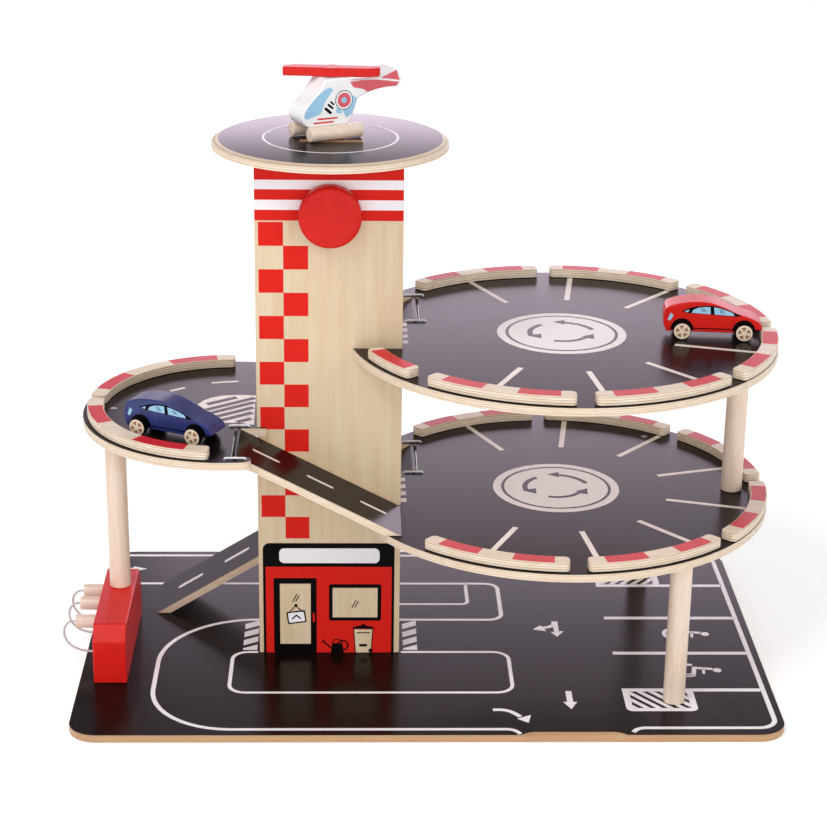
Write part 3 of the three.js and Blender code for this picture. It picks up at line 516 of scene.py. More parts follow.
def makeHoses():
    for number in (1, 2, 3):
        nozzle, hose = f"nozzle_{number}", f"hose_{number}"
        centre, size = middleOf(nozzle)
        mouth = centre - Vector((size.x / 2, 0, 0))
        line = [mouth + p for p in spline(hoses["route"], hoses["stepsBetween"])]
        bm = bmesh.new()
        reach = addTube(bm, line, hoses["radius"], hoses["sides"])
        piece = newPiece(f"pump_hose_{number}", bm, [cottonCord])
        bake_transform(piece)
        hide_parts(hose)
        print(hose, "is", round(reach, 1), "mm long")


makeHoses()

# Repeats: one tree sets copies of a shape in a row or round a centre


def makeRepeatTree():
    tree = bpy.data.node_groups.new("repeatShape", "GeometryNodeTree")
    sockets = [("Geometry", "NodeSocketGeometry"), ("Count", "NodeSocketInt"), ("Centre", "NodeSocketVector"),
               ("Step", "NodeSocketVector"), ("First turn", "NodeSocketFloat"), ("Turn", "NodeSocketFloat"),
               ("Finish", "NodeSocketMaterial")]
    for name, kind in sockets:
        tree.interface.new_socket(name, in_out="INPUT", socket_type=kind)
    tree.interface.new_socket("Geometry", in_out="OUTPUT", socket_type="NodeSocketGeometry")
    given = addNode(tree, "NodeGroupInput").outputs
    row = addNode(tree, "GeometryNodeMeshLine", {"mode": "OFFSET"},
                  links={"Count": given["Count"], "Start Location": given["Centre"], "Offset": given["Step"]})
    index = addNode(tree, "GeometryNodeInputIndex")
    angle = addNode(tree, "ShaderNodeMath", {"operation": "MULTIPLY_ADD"},
                    links={0: index.outputs[0], 1: given["Turn"], 2: given["First turn"]})
    turned = addNode(tree, "ShaderNodeCombineXYZ", links={"Z": angle.outputs[0]})
    facing = addNode(tree, "FunctionNodeEulerToRotation", links={0: turned.outputs[0]})
    copies = addNode(tree, "GeometryNodeInstanceOnPoints",
                     links={"Points": row.outputs["Mesh"], "Instance": given["Geometry"],
                            "Rotation": facing.outputs[0]})
    real = addNode(tree, "GeometryNodeRealizeInstances", links={"Geometry": copies.outputs["Instances"]})
    painted = addNode(tree, "GeometryNodeSetMaterial",
                      links={"Geometry": real.outputs["Geometry"], "Material": given["Finish"]})
    addNode(tree, "NodeGroupOutput", links={0: painted.outputs["Geometry"]})
    return tree


repeatTree = makeRepeatTree()


def repeatShape(name, bm, finish, count, centre=(0, 0, 0), step=(0, 0, 0), firstTurn=0.0, turn=0.0):
    unit = newPiece(name, bm, [finish])
    values = {"Count": count, "Centre": tuple(c * mm for c in centre), "Step": tuple(s * mm for s in step),
              "First turn": math.radians(firstTurn), "Turn": math.radians(turn), "Finish": finish}
    modifier = unit.modifiers.new("repeat", "NODES")
    modifier.node_group = repeatTree
    for socket in repeatTree.interface.items_tree:
        if socket.in_out == "INPUT" and socket.name in values:
            modifier[socket.identifier] = values[socket.name]
    bpy.context.view_layer.update()
    plain = bpy.data.meshes.new_from_object(unit.evaluated_get(bpy.context.evaluated_depsgraph_get()))
    unit.modifiers.remove(modifier)
    unit.data = plain
    return unit


# Boards: copies of the solids, welded, with eased edges, paint on the upper faces and plies on the edges


def weldedCopy(node):
    bm = bmesh.new()
    bm.from_mesh(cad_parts[node].data)
    bmesh.ops.remove_doubles(bm, verts=bm.verts, dist=0.005 * mm)
    bmesh.ops.dissolve_limit(bm, angle_limit=math.radians(0.6), verts=bm.verts, edges=bm.edges)
    return bm


def markPlies(bm, origin, axis):
    layer = bm.verts.layers.float.get("plyHeight") or bm.verts.layers.float.new("plyHeight")
    for vert in bm.verts:
        vert[layer] = (vert.co - Vector(origin)).dot(Vector(axis))


flatShare = 0.97  # the cosine from which a face counts as looking along a board's facing


def dressBoard(node, body, slot, edge, top, facing=(0, 0, 1), ease=0.4, under=birchFlat):
    # top covers the faces that look along facing, under those that look the other way, edge the rest
    bm = weldedCopy(node)
    markPlies(bm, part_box(node)[0], facing)
    for face in bm.faces:
        share = face.normal.dot(Vector(facing))
        face.material_index = 1 if share > flatShare else 2 if share < -flatShare else 0
        if node in hingeOf and share > -flatShare:
            # the walls of the pin's slot take the top's black lacquer: painted shade that darkens the hinge
            # gap
            away = face.calc_center_median() / mm - Vector(ramps[hingeOf[node]]["hinge"])
            if abs(away.x) < slotReach[0] and abs(away.y) < slotReach[1]:
                face.material_index = 1
    piece = softenEdges(newPiece(f"dressed_{node}", bm, [edge, top, under]), ease)
    return settle(piece, body, slot, node)


ramps = dict(length=22.0, surface=3.25,
             ground_ramp=dict(hinge=(-9.0, 77.2, 147.25), side=-1, slope=31.35, first=36.0, pitch=50.9,
                              count=5, width=5.6),
             rear_ramp=dict(hinge=(-9.0, 77.2, 290.75), side=-1, slope=27.42, first=25.5, pitch=51.0,
                            count=3, width=3.8),
             front_ramp=dict(hinge=(-161.0, -71.3, 219.0), side=1, slope=27.42, first=25.5, pitch=51.0,
                             count=3, width=3.8))
rampNames = ("ground_ramp", "rear_ramp", "front_ramp")
hingeOf = dict(lower_deck="ground_ramp", upper_deck="rear_ramp", half_deck="front_ramp")
slotReach = (4.0, 40.0)  # across and along the hinge line


def rampAxes(name):
    # down the ramp, and up from its face
    slope, side = math.radians(ramps[name]["slope"]), ramps[name]["side"]
    ahead = Vector((side * math.cos(slope), 0, -math.sin(slope)))
    return ahead, Vector((side * math.sin(slope), 0, math.cos(slope)))


def dressRamp(name):
    # only the two long sides of a ramp show its plies, which lie along the slope
    up = rampAxes(name)[1]
    bm = weldedCopy(name)
    markPlies(bm, Vector(ramps[name]["hinge"]) * mm - up * ramps["surface"] * mm, up)
    for face in bm.faces:
        side = abs(face.normal.y) > 0.5
        # the end faces take the black lacquer with the top: at the low tip this is the paint, at the hinge
        # end it is painted shade that darkens the gap to the deck
        face.material_index = 0 if side else 2 if face.normal.dot(up) < -0.9 else 1
    piece = softenEdges(newPiece(f"dressed_{name}", bm, [plyEdge, blackLacquer, birchFlat]), 0.3)
    settle(piece, name, "black_painted_board", name)


towerSides = dict(tower_front_panel=("printed_panel", (0, -1, 0)),
                  tower_back_panel=("birch_plywood", (0, 1, 0)),
                  tower_left_wall=("birch_plywood", (-1, 0, 0)),
                  tower_right_wall=("birch_plywood", (1, 0, 0)))


def dressBoards():
    dressBoard("base_board", "root", "black_painted_board", boardEdge, blackLacquer, ease=0.7)
    for name in hingeOf:
        dressBoard(name, "root", "black_painted_board", plyEdge, blackLacquer)
    for name in rampNames:
        dressRamp(name)
    for name, (slot, facing) in towerSides.items():
        dressBoard(name, "root", slot, plyEdge, birchFace, facing, 0.35, birchFace)
    dressBoard("lift_car", "lift", "birch_plywood", birchFlat, birchFlat, ease=0.5)
    print("boards dressed")


dressBoards()

# Round pieces

pad = dict(radius=99.5, thickness=7.0, bevel=5.8, drop=2.5, sides=144, ring=56.1, ringWidth=1.7,
           bar=(-25.5, -18.0, 26.5, -9.0))
knob = dict(radius=26.2, edge=3.5, steps=8, sides=96)
staple = dict(wire=0.8, bend=1.4, sides=12)


def makeHelipad():
    centre, size = middleOf("helipad")
    foot = centre.z - size.z / 2
    r, t, b, d = pad["radius"], pad["thickness"], pad["bevel"], pad["drop"]
    profile = [(0, 0), (r - 0.8, 0), (r - 0.2, 0.2), (r, 0.8), (r, t - d - 0.6), (r - 0.25, t - d - 0.1),
               (r - 0.9, t - d + 0.3), (r - b, t), (0, t)]
    bm = bmesh.new()
    topStep = len(profile) - 2  # the flat top, which is lacquered
    addLathe(bm, profile, upright(centre.x, centre.y, foot), pad["sides"], rims={topStep: 1})
    markPlies(bm, (0, 0, foot * mm), (0, 0, 1))
    piece = evenlyShaded(newPiece("round_helipad", bm, [plyEdge, blackLacquer]))
    settle(piece, "root", "black_painted_board", "helipad")


def makeRod(prefix, node, axis, radius, length, edge, sides, finish, body, slot):
    # a turned rod in the middle of its node
    bm = bmesh.new()
    addLathe(bm, roundedRod(radius, -length / 2, length / 2, edge), along(axis, middleOf(node)[0]), sides)
    settle(newPiece(f"{prefix}_{node}", bm, [finish]), body, slot, node)


def makePosts():
    for node in ("front_post", "back_post", "side_post", "pump_post"):
        size = middleOf(node)[1]
        makeRod("beech", node, (0, 0, 1), size.x / 2, size.z, 0.8, 56, turnedBeech, "root", "turned_beech")


def makeNozzles():
    for node in ("nozzle_1", "nozzle_2", "nozzle_3"):
        size = middleOf(node)[1]
        makeRod("beech", node, (1, 0, 0), size.y / 2, size.x, 0.6, 40, turnedBeechX, node, "turned_beech")


def makeKnob():
    centre, size = middleOf("knob")
    bm = bmesh.new()
    profile = roundedRod(knob["radius"], -size.y / 2, size.y / 2, knob["edge"], knob["steps"])
    addLathe(bm, profile, along((0, -1, 0), centre), knob["sides"])
    settle(evenlyShaded(newPiece("turned_knob", bm, [redPaint])), "winding", "red_paint", "knob")


def makeStaple(node):
    wire, bend = staple["wire"], staple["bend"]
    centre, size = middleOf(node)
    top = centre.z + size.z / 2 - wire
    foot = centre.z - size.z / 2
    reach = size.x / 2 - wire
    left = [(-x, z) for x, z in arc(reach - bend, top - bend, bend, 0, 90, 4)]
    right = [(-x, z) for x, z in left[::-1]]
    line = [(-reach, foot)] + left + right + [(reach, foot)]
    bm = bmesh.new()
    addTube(bm, [Vector((centre.x + x, centre.y, z)) for x, z in line], wire, staple["sides"])
    # the staples' near white colour is a painted highlight on the steel wire
    settle(newPiece(f"wire_{node}", bm, [highlightWhiteWire], 50), "root", "steel_wire", node)


def makeHingeWires():
    for side in ("ground", "rear", "front"):
        pin = f"{side}_hinge_pin"
        size = middleOf(pin)[1]
        # the steel pin takes the boards' black lacquer: painted shade, so that it reads dark in the hinge gap
        makeRod("wire", pin, (0, 1, 0), size.x / 2, size.y, 0.4, 20, blackLacquer, "root", "steel_wire")
        for end in ("front", "back"):
            makeStaple(f"{side}_hinge_staple_{end}")


screw = dict(radius=3.0, rise=0.5, slot=1.0, reach=2.1, deckX=211.4, deckY=-127.6, deckStep=259.2,
             half=(-273.6, 9.8), halfTurn=40)


def screwHead():
    # a low domed head with a cross cut into it, shown as two crossed bars that stand just proud
    bm = bmesh.new()
    r, rise, reach = screw["radius"], screw["rise"], screw["reach"]
    addLathe(bm, [(0, -0.3), (r, -0.3), (r, 0), (r * 0.75, rise * 0.7), (r * 0.4, rise), (0, rise)], sides=24)
    half = screw["slot"] / 2
    cross = [(half, half), (half, reach), (-half, reach), (-half, half), (-reach, half), (-reach, -half),
             (-half, -half), (-half, -reach), (half, -reach), (half, -half), (reach, -half), (reach, half)]
    addPrism(bm, cross, low=rise * 0.5, high=rise + 0.06)
    return bm


def makeScrews():
    # screws that hold the decks on the posts
    lower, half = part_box("lower_deck")[1].z / mm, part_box("half_deck")[1].z / mm
    row = repeatShape("lower_deck_screws", screwHead(), steelWire, 2, (screw["deckX"], screw["deckY"], lower),
                      (0, screw["deckStep"], 0))
    single = repeatShape("half_deck_screw", screwHead(), steelWire, 1, (*screw["half"], half),
                         firstTurn=screw["halfTurn"])
    for piece in (row, single):
        settle(piece, "root", "steel_wire")


makeScrews()
makeHelipad()
makePosts()
makeKnob()
makeNozzles()
makeHingeWires()
softBlock = dressBoard("pump_block", "root", "red_paint", redPaint, redPaint, ease=1.4, under=redPaint)
softBlock.modifiers["easedEdges"].segments = 4
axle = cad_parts["winding_axle"]
axle.data.materials.clear()
axle.data.materials.append(turnedBeech)
print("round pieces made")

# Decks: rails, parking strips and the roundabout

deck = dict(centre=(116.7, 5.5), radius=185.5, railWidth=14.5, railHeight=8.0, railInset=3.75, railCorner=4.0,
            railEase=1.0, railSweep=41.0, shortRail=(-148.7, 20.2),
            rails=((113.2, 0), (68.4, 1.2), (23.6, 3.4), (-21.2, 3.6), (-66.0, 0.6), (-111.8, 0)))
halfDeck = dict(centre=(-171.5, 9.3), radius=127.5, rails=((132.5, 83.7), (221.0, 87.1)),
                patches=(((0.1, 0.357), (0.641, 0.9)), ((0.11, 0.379), (0.649, 0.89))),
                hatch=[(-196.0, 30.8), (-189.2, 38.3), (-180.3, 43.3), (-170.3, 45.2), (-158.8, 44.9),
                       (-150.4, 43.8), (-150.0, 22.4), (-149.2, -10.3), (-148.9, -29.3), (-153.0, -28.3),
                       (-158.3, -25.6), (-165.8, -24.9), (-182.0, -24.6), (-195.0, -22.0), (-201.0, -10.0),
                       (-202.8, 5.0), (-201.0, 20.0)],
                openBars=((-192.5, 21.0, -167.3, 38.9), (-197.5, 3.0, -150.9, 38.0),
                          (-198.0, -8.7, -150.8, 26.7), (-192.0, -17.1, -151.2, 13.5),
                          (-182.0, -22.3, -151.6, 0.5), (-164.0, -23.3, -152.0, -14.3)),
                openWidth=6.2, dashes=((-190.4, 77.4, -169.7, 81.3), (-226.0, 56.0, -216.2, 63.2)),
                dashWidth=3.8)
strips = dict(inner=98.6, outer=168.0, width=4.8, pitch=32.9, count=8)
roundabout = dict(radius=56.0, ring=47.4, ringWidth=2.7,
                  arrows=((29.3, 19.2, 80, 4.6, (31.3, 100.1), ((37.0, 81.5), (24.2, 78.5))),
                          (27.6, 124, 191, 4.8, (23.6, 218.5), ((31.0, 194.5), (18.2, 187.0))),
                          (22.4, 248, 326, 4.4, (27.7, 355.6), ((19.0, 331.5), (31.0, 330.0)))))
railPatches = ((0.10, 0.37), (0.60, 0.885))


def railOutline(outerRadius, sweep, ease):
    outer, inner = outerRadius - ease, outerRadius - deck["railWidth"] + ease
    corner = deck["railCorner"] - ease
    outline = []
    for radius, direction in ((outer, 1), (inner, -1)):
        middle = radius - direction * corner
        cornerAngle = math.degrees(math.asin(corner / middle))
        half = sweep / 2 - math.degrees(ease / outerRadius) - cornerAngle
        for end in (-1, 1):
            angle = direction * end * half
            x, y = middle * math.cos(math.radians(angle)), middle * math.sin(math.radians(angle))
            start = angle + (0 if direction > 0 else 180)
            turn = (start - 90, start) if end < 0 else (start, start + 90)
            outline += arc(x, y, corner, *turn, 5)
            if end < 0:
                steps = max(2, round(sweep / 2))
                outline += arc(0, 0, radius, -direction * half, direction * half, steps)[1:-1]
    return outline


def makeRailShape(deckRadius, sweep):
    outerRadius = deckRadius - deck["railInset"]
    top, e = deck["railHeight"], deck["railEase"]
    steps = [(e, 0), (e * 0.3, e * 0.3), (0, e), (0, top - e), (e * 0.3, top - e * 0.3), (e, top)]
    bm = bmesh.new()
    rings = [[bm.verts.new(Vector((x, y, h)) * mm) for x, y in railOutline(outerRadius, sweep, ease)]
             for ease, h in steps]
    for low, high in zip(rings, rings[1:]):
        bridge(bm, low, high)
    bm.faces.new(rings[0][::-1])
    bm.faces.new(rings[-1])
    bmesh.ops.recalc_face_normals(bm, faces=bm.faces)
    markPlies(bm, (0, 0, 0), (0, 0, 1))
    return bm


def patchOutline(outerRadius, sweep, span):
    # a red patch across the flat of a rail, cut off along the deck's radius
    outer, inner = outerRadius - deck["railEase"], outerRadius - deck["railWidth"] + deck["railEase"]
    start, end = [sweep / 2 - sweep * share for share in span]
    return arc(0, 0, outer, end, start, 10) + arc(0, 0, inner, start, end, 10)


def makePatches(deckRadius, sweep, spans):
    bm = bmesh.new()
    for span in spans:
        addPrism(bm, patchOutline(deckRadius - deck["railInset"], sweep, span), high=0.1)
    return bm


def makeRail(node, plan, middle, sweep, spans, outset=0):
    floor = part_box(node)[0].z / mm
    angle = math.radians(middle)
    x, y = plan["centre"][0] + outset * math.cos(angle), plan["centre"][1] + outset * math.sin(angle)
    turn = Matrix.Rotation(angle, 4, "Z")
    rail = makeRailShape(plan["radius"], sweep)
    rail.transform(Matrix.Translation(Vector((x, y, floor)) * mm) @ turn)
    settle(evenlyShaded(newPiece(f"ply_{node}", rail, [railPly], 42)), "root", "birch_plywood", node)
    patches = makePatches(plan["radius"], sweep, spans)
    patches.transform(Matrix.Translation(Vector((x, y, floor + deck["railHeight"])) * mm) @ turn)
    settle(newPiece(f"{node}_patches", patches, [railRed]), "root", "red_paint")


def makeParkingStrips(name):
    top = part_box(name)[1].z / mm
    bm = bmesh.new()
    addPrism(bm, box2(strips["inner"], -strips["width"] / 2, strips["outer"], strips["width"] / 2))
    firstTurn = (1 - strips["count"]) / 2 * strips["pitch"]
    row = repeatShape(f"{name}_strips", bm, bareMark, strips["count"], (*deck["centre"], top),
                      firstTurn=firstTurn, turn=strips["pitch"])
    settle(row, "root", "black_painted_board")


def bentArrow(radius, start, end, width, tip, wings):
    # an arrow along an arc: the shaft's end angle, then its tip and wings as (distance, angle)
    line = arc(0, 0, radius + width / 2, start, end, 10)
    back = arc(0, 0, radius - width / 2, end, start, 10)
    head = [arc(0, 0, r, angle, angle, 1)[0] for r, angle in (wings[0], tip, wings[1])]
    return line + head + back


def makeRoundabout(name, centreY):
    # a white disc in which the black lacquer is left open as a ring and three arrows
    place = upright(deck["centre"][0], centreY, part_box(name)[1].z / mm)
    bm = bmesh.new()
    addPrism(bm, circle(0, 0, roundabout["radius"], 96), place=place)
    ring, width = roundabout["ring"], roundabout["ringWidth"]
    hole = circle(0, 0, ring - width / 2, 96)
    addPrism(bm, circle(0, 0, ring + width / 2, 96), [hole], place, **secondFilm)
    for arrowShape in roundabout["arrows"]:
        addPrism(bm, bentArrow(*arrowShape), place=place, **secondFilm)
    settle(newPiece(f"{name}_roundabout", bm, [discMark, blackLacquer]), "root", "black_painted_board")


def makeDecks():
    for name, y in (("lower_deck", 5.0), ("upper_deck", 8.0)):
        for number, (middle, outset) in enumerate(deck["rails"], 1):
            makeRail(f"{name}_rail_{number}", deck, middle, deck["railSweep"], railPatches, outset)
        makeParkingStrips(name)
        makeRoundabout(name, y)
    makeRail("upper_deck_rail_7", deck, *deck["shortRail"], ((0.09, 0.89),))
    for number, (middle, sweep) in enumerate(halfDeck["rails"], 1):
        makeRail(f"half_deck_rail_{number}", halfDeck, middle, sweep, halfDeck["patches"][number - 1])
    print("decks finished")


makeDecks()

# Road markings on the base board

road = dict(line=3.3, islandExtra=0.6, border=4.2, rowLine=5.4, back=175.2, front=-175.2, right=290.6,
            islandLeft=-276, islandTop=110.4, islandRight=74.1, islandLow=31.9, corner=12.0, bayX=44.0,
            bayY=65.1, bayLeft=-60, bayCorner=6, loopX=-150.6, loopY=-52.5, loopRadius=84.4, loopCorner=70.0,
            frontTop=-33.6, frontLow=-110.4, frontLeft=-170.0, frontRight=75.1, frontCorner=14,
            frontStart=-20.5, frontEnd=-147.8, borderLeft=-292, parkFrom=169.2,
            parkRows=(106.2, 35.7, -36.0, -106.0), driveStart=77.0, driveEnd=165.0, driveCorner=11)
zebra = dict(width=12.8, rise=7.6, bar=10.4, pitch=16.4, low=-29.3, high=29.2, edges=(-161.6, -18.5))
hatch = dict(left=169.3, right=230.6, depth=40.7, frame=5.4, side=5.8, bar=6.5, pitch=12.6, rise=-62,
             radius=6.0, overlap=0.3)
signs = dict(places=((231.5, 2.6), (231.5, -68.9)), size=34)
arrows = dict(straight=((122.6, -108, 122.4, -140.5, 5.2, 13), (-292, 143.5, -263, 143.5, 4.5, 13)),
              fork=[(119.6, 28.4), (125.2, 28.4), (124.8, 8.0), (129.2, 8.2), (122.3, -3.3), (117.2, 6.2),
                    (120.6, 6.6), (120.2, 16.5), (114.9, 14.0), (111.9, 13.4), (113.4, 8.1), (101.3, 11.8),
                    (108.9, 20.2), (109.9, 17.2), (114.9, 18.4), (119.3, 22.4)],
              bend=[(55.5, -141.6), (62, -141.4), (68.5, -143.4), (74, -148.4), (78, -153.6)], bendWidth=4.2,
              bendHead=[(75.1, -157.0), (84.1, -164.4), (87.2, -150.7)])


def clipBand(points, low, high):
    # keeps what lies between two Y values of a convex outline
    for limit, keep in ((low, 1), (high, -1)):
        kept = []
        for i, b in enumerate(points):
            a = points[i - 1]
            inA, inB = (a[1] - limit) * keep >= 0, (b[1] - limit) * keep >= 0
            if inA != inB:
                t = (limit - a[1]) / (b[1] - a[1])
                kept.append((a[0] + (b[0] - a[0]) * t, limit))
            if inB:
                kept.append(b)
        points = kept
    return points


def clipBox(points, left, front, right, back):
    points = clipBand(points, front, back)
    turned = clipBand([(y, x) for x, y in points], left, right)
    return [(y, x) for x, y in turned]


def slantedBars(left, front, right, back, rise, bar, pitch):
    count = int((back - front + abs(rise)) / pitch) + 3
    for k in range(-1, count):
        y = front - max(rise, 0) + k * pitch
        outline = [(left, y), (right, y + rise), (right, y + rise + bar), (left, y + bar)]
        clipped = clipBox(outline, left, front, right, back)
        if len(clipped) > 2:
            yield clipped


def arrow(x0, y0, x1, y1, width, head):
    # a straight arrow with its tip at the second point
    start, tip = Vector((x0, y0)), Vector((x1, y1))
    ahead = (tip - start).normalized()
    side = Vector((-ahead.y, ahead.x))
    neck = tip - ahead * head
    points = [start + side * width / 2, neck + side * width / 2, neck + side * head * 0.46, tip,
              neck - side * head * 0.46, neck - side * width / 2, start - side * width / 2]
    return [tuple(p) for p in points]


def wheelUserSign(x, y, size):
    # the common parking sign for wheelchair users, lying with its head to the right
    s = size / 30
    body, arm = ([(x + a * s, y + b * s) for a, b in line]
                 for line in ([(20, 2), (6, 4), (4, -7), (-6, -9)], [(13, 3), (12, -6)]))
    return [stroke(arc(x, y, 9.6 * s, 60, 300, 20), 3.3 * s), stroke(body, 3.4 * s), stroke(arm, 2.2 * s),
            circle(x + 23.4 * s, y, 3.4 * s, 16)]


def islandLines():
    r = road
    # the upper line runs left to the pumps; the lower line runs into the loop round the tower
    corner, right = r["corner"], r["islandRight"] - r["corner"]
    island = [(r["islandLeft"], r["islandTop"])] + arc(right, r["islandTop"] - corner, corner, 90, 0, 8)
    island += arc(right, r["islandLow"] + corner, corner, 0, -90, 8)
    island += arc(r["loopX"], r["loopY"], r["loopRadius"], 90, 180, 28)
    turn = r["loopCorner"]
    island += arc(r["loopX"] - r["loopRadius"] + turn, r["front"] + turn, turn, 180, 270, 12)
    island += [(r["driveStart"] - 14, r["front"])]
    island += arc(r["driveStart"] - 12, r["front"] - r["driveCorner"], r["driveCorner"], 80, 14, 6)
    small = r["bayCorner"]
    bay = [(r["bayX"], r["islandTop"])] + arc(r["bayX"] - small, r["bayY"] + small, small, 0, -90, 6)
    bay += [(r["bayLeft"], r["bayY"]), (r["bayLeft"], r["islandTop"])]
    # the front island's line stops at both sides of the tower
    c, top = r["frontCorner"], r["frontTop"]
    left, low, right = r["frontLeft"] + c, r["frontLow"] + c, r["frontRight"] - c
    front = [(r["frontStart"], top)] + arc(right, top - c, c, 90, 0, 8) + arc(right, low, c, 0, -90, 8)
    front += arc(left, low, c, 270, 180, 8) + arc(left, top - c, c, 180, 90, 8) + [(r["frontEnd"], top)]
    return [stroke(island, r["line"] + r["islandExtra"]), stroke(bay, r["line"]), stroke(front, r["line"])]


def borderLines():
    r = road
    border = [(r["borderLeft"], r["back"])] + arc(r["right"] - 16, r["back"] - 16, 16, 90, 0, 10)
    border += arc(r["right"] - 13.4, r["front"] + 17, 15, 0, -90, 10)
    border += arc(r["driveEnd"] + 16, r["front"] - 9, r["driveCorner"], 90, 160, 6)
    lines = [stroke(border, r["border"])]
    for row, y in enumerate(r["parkRows"]):
        start = r["parkFrom"] if row in (1, 2) else hatch["right"]
        lines.append(box2(start, y - r["rowLine"] / 2, r["right"] - 1, y + r["rowLine"] / 2))
    return lines


def hatchedBox(line, flip):
    # a frame with round corners away from its row line, as an outline and its hole, and the bars inside
    h = hatch
    outline = [(h["right"], 0), (h["left"], 0)]
    for x, start in ((h["left"] + h["radius"], 180), (h["right"] - h["radius"], 270)):
        outline += arc(x, h["radius"] - h["depth"], h["radius"], start, start + 90, 6)
    left, right = h["left"] + h["side"], h["right"] - h["side"]
    low, high = h["frame"] - h["depth"], -h["frame"]
    e = h["overlap"]
    bars = slantedBars(left - e, low - e, right + e, high + e, h["rise"], h["bar"], h["pitch"])
    loops = [outline, box2(left, low, right, high), *bars]
    return [[(x, line + flip * y) for x, y in loop] for loop in loops]


def makeBaseMarkings():
    place = Matrix.Translation((0, 0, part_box("base_board")[1].z / mm))
    bm = bmesh.new()
    shapes = islandLines() + borderLines()
    for x in zebra["edges"]:
        shapes += slantedBars(x, zebra["low"], x + zebra["width"], zebra["high"], zebra["rise"], zebra["bar"],
                              zebra["pitch"])
    half = road["rowLine"] / 2
    for line, flip in ((road["parkRows"][3] + half, 1), (road["parkRows"][0] - half, -1)):
        outline, hole, *bars = hatchedBox(line, flip)
        addPrism(bm, outline, [hole], place)
        shapes += bars
    shapes += [arrow(*one) for one in arrows["straight"]]
    bend = [tuple(p) for p in spline(arrows["bend"], 4)]
    shapes += [arrows["fork"], stroke(bend, arrows["bendWidth"]), arrows["bendHead"]]
    for x, y in signs["places"]:
        shapes += wheelUserSign(x, y, signs["size"])
    for outline in shapes:
        addPrism(bm, outline, place=place)
    settle(newPiece("road_markings", bm, [whiteInk]), "root", "black_painted_board")
    print("road markings made")


makeBaseMarkings()

# Markings of the decks and ramps beside the tower

crossing = dict(left=-22.0, right=-17.1, rise=1.4, bar=9.0, pitch=16.1, lower_deck=(-29.0, 26.3),
                upper_deck=(-22.2, 42.0))


def makeDeckCrossings():
    for name in ("lower_deck", "upper_deck"):
        bm = bmesh.new()
        low, high = crossing[name]
        for bar in slantedBars(crossing["left"], low, crossing["right"], high, crossing["rise"],
                               crossing["bar"], crossing["pitch"]):
            addPrism(bm, bar, place=Matrix.Translation((0, 0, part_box(name)[1].z / mm)))
        settle(newPiece(f"{name}_crossing", bm, [bareMark]), "root", "black_painted_board")


def makeHalfDeckMarkings():
    bm = bmesh.new()
    place = Matrix.Translation((0, 0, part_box("half_deck")[1].z / mm))
    addPrism(bm, halfDeck["hatch"], place=place)
    for x0, y0, x1, y1 in halfDeck["openBars"]:
        addPrism(bm, stroke([(x0, y0), (x1, y1)], halfDeck["openWidth"]), place=place, **secondFilm)
    for ends in halfDeck["dashes"]:
        addPrism(bm, dash(*ends, halfDeck["dashWidth"]), place=place)
    settle(newPiece("half_deck_markings", bm, [bareMark, blackLacquer]), "root", "black_painted_board")


def makeRampDashes(name):
    # dashes down the middle of a ramp, on its sloping upper face
    one = ramps[name]
    ahead, up = rampAxes(name)
    start = Vector(one["hinge"]) + up * ramps["surface"] + ahead * one["first"]
    lying = Matrix((ahead, up.cross(ahead), up)).transposed().to_4x4()
    half = ramps["length"] / 2
    bm = bmesh.new()
    addPrism(bm, dash(-half, 0, half, 0, one["width"]), place=lying)
    finish = whiteInk if name == "ground_ramp" else bareMark
    row = repeatShape(f"{name}_dashes", bm, finish, one["count"], start, ahead * one["pitch"])
    settle(row, name, "black_painted_board")


makeDeckCrossings()
makeHalfDeckMarkings()
for name in rampNames:
    makeRampDashes(name)
print("deck markings made")

# The printed front of the tower

tower = dict(left=-146.2, right=-22.2, checkerLeft=-143.1, column=20.7, checkerTop=403.9, row=20.4,
             stripes=((439.7, 460.0, 0), (431.7, 439.7, 1), (422.8, 431.7, 0), (414.3, 422.8, 1),
                      (405.2, 414.3, 0)))
shop = dict(left=-142.6, right=-27.0, top=113.8, headerLow=91.2, radius=6.0, post=2.3, foot=7.4,
            sign=(-128.2, 94.7, -40.2, 108.9), door=(-133.4, 7.4, -95.5, 80.3),
            pane=(-127.9, 16.0, -100.8, 74.8), handle=(-98.9, 37.5, -97.3, 46.5),
            window=(-84.6, 38.9, -38.4, 74.4), glass=(-81.4, 42.1, -41.7, 70.8),
            cardHook=(-113.4, 42.3), cardTilt=8, cord=[(-119.6, 47.4), (-113.9, 53.4), (-107.6, 47)],
            cup=[(-117.4, 40.2), (-113.6, 44.2), (-109.6, 41)],
            can=[(-83.0, 7.4), (-71.5, 7.4), (-72.6, 16.4), (-81.8, 16.4)],
            spout=[(-82.4, 11.6), (-89.8, 18.4)], rose=[(-91.2, 17.4), (-88.4, 20.2)],
            bin=[(-61.6, 7.4), (-46.8, 7.4), (-45.2, 30.6), (-63.2, 30.6)],
            binFront=[(-60.7, 7.4), (-47.7, 7.4), (-46.2, 30.2), (-62.2, 30.2)], lidZ=30.8, lidFlat=0.34,
            binLines=((-57.8, 13.4, -50.8, 15.8), (-55.7, 34.0, -52.7, 35.6), (-60.0, 26.4, -48.2, 27.5)))


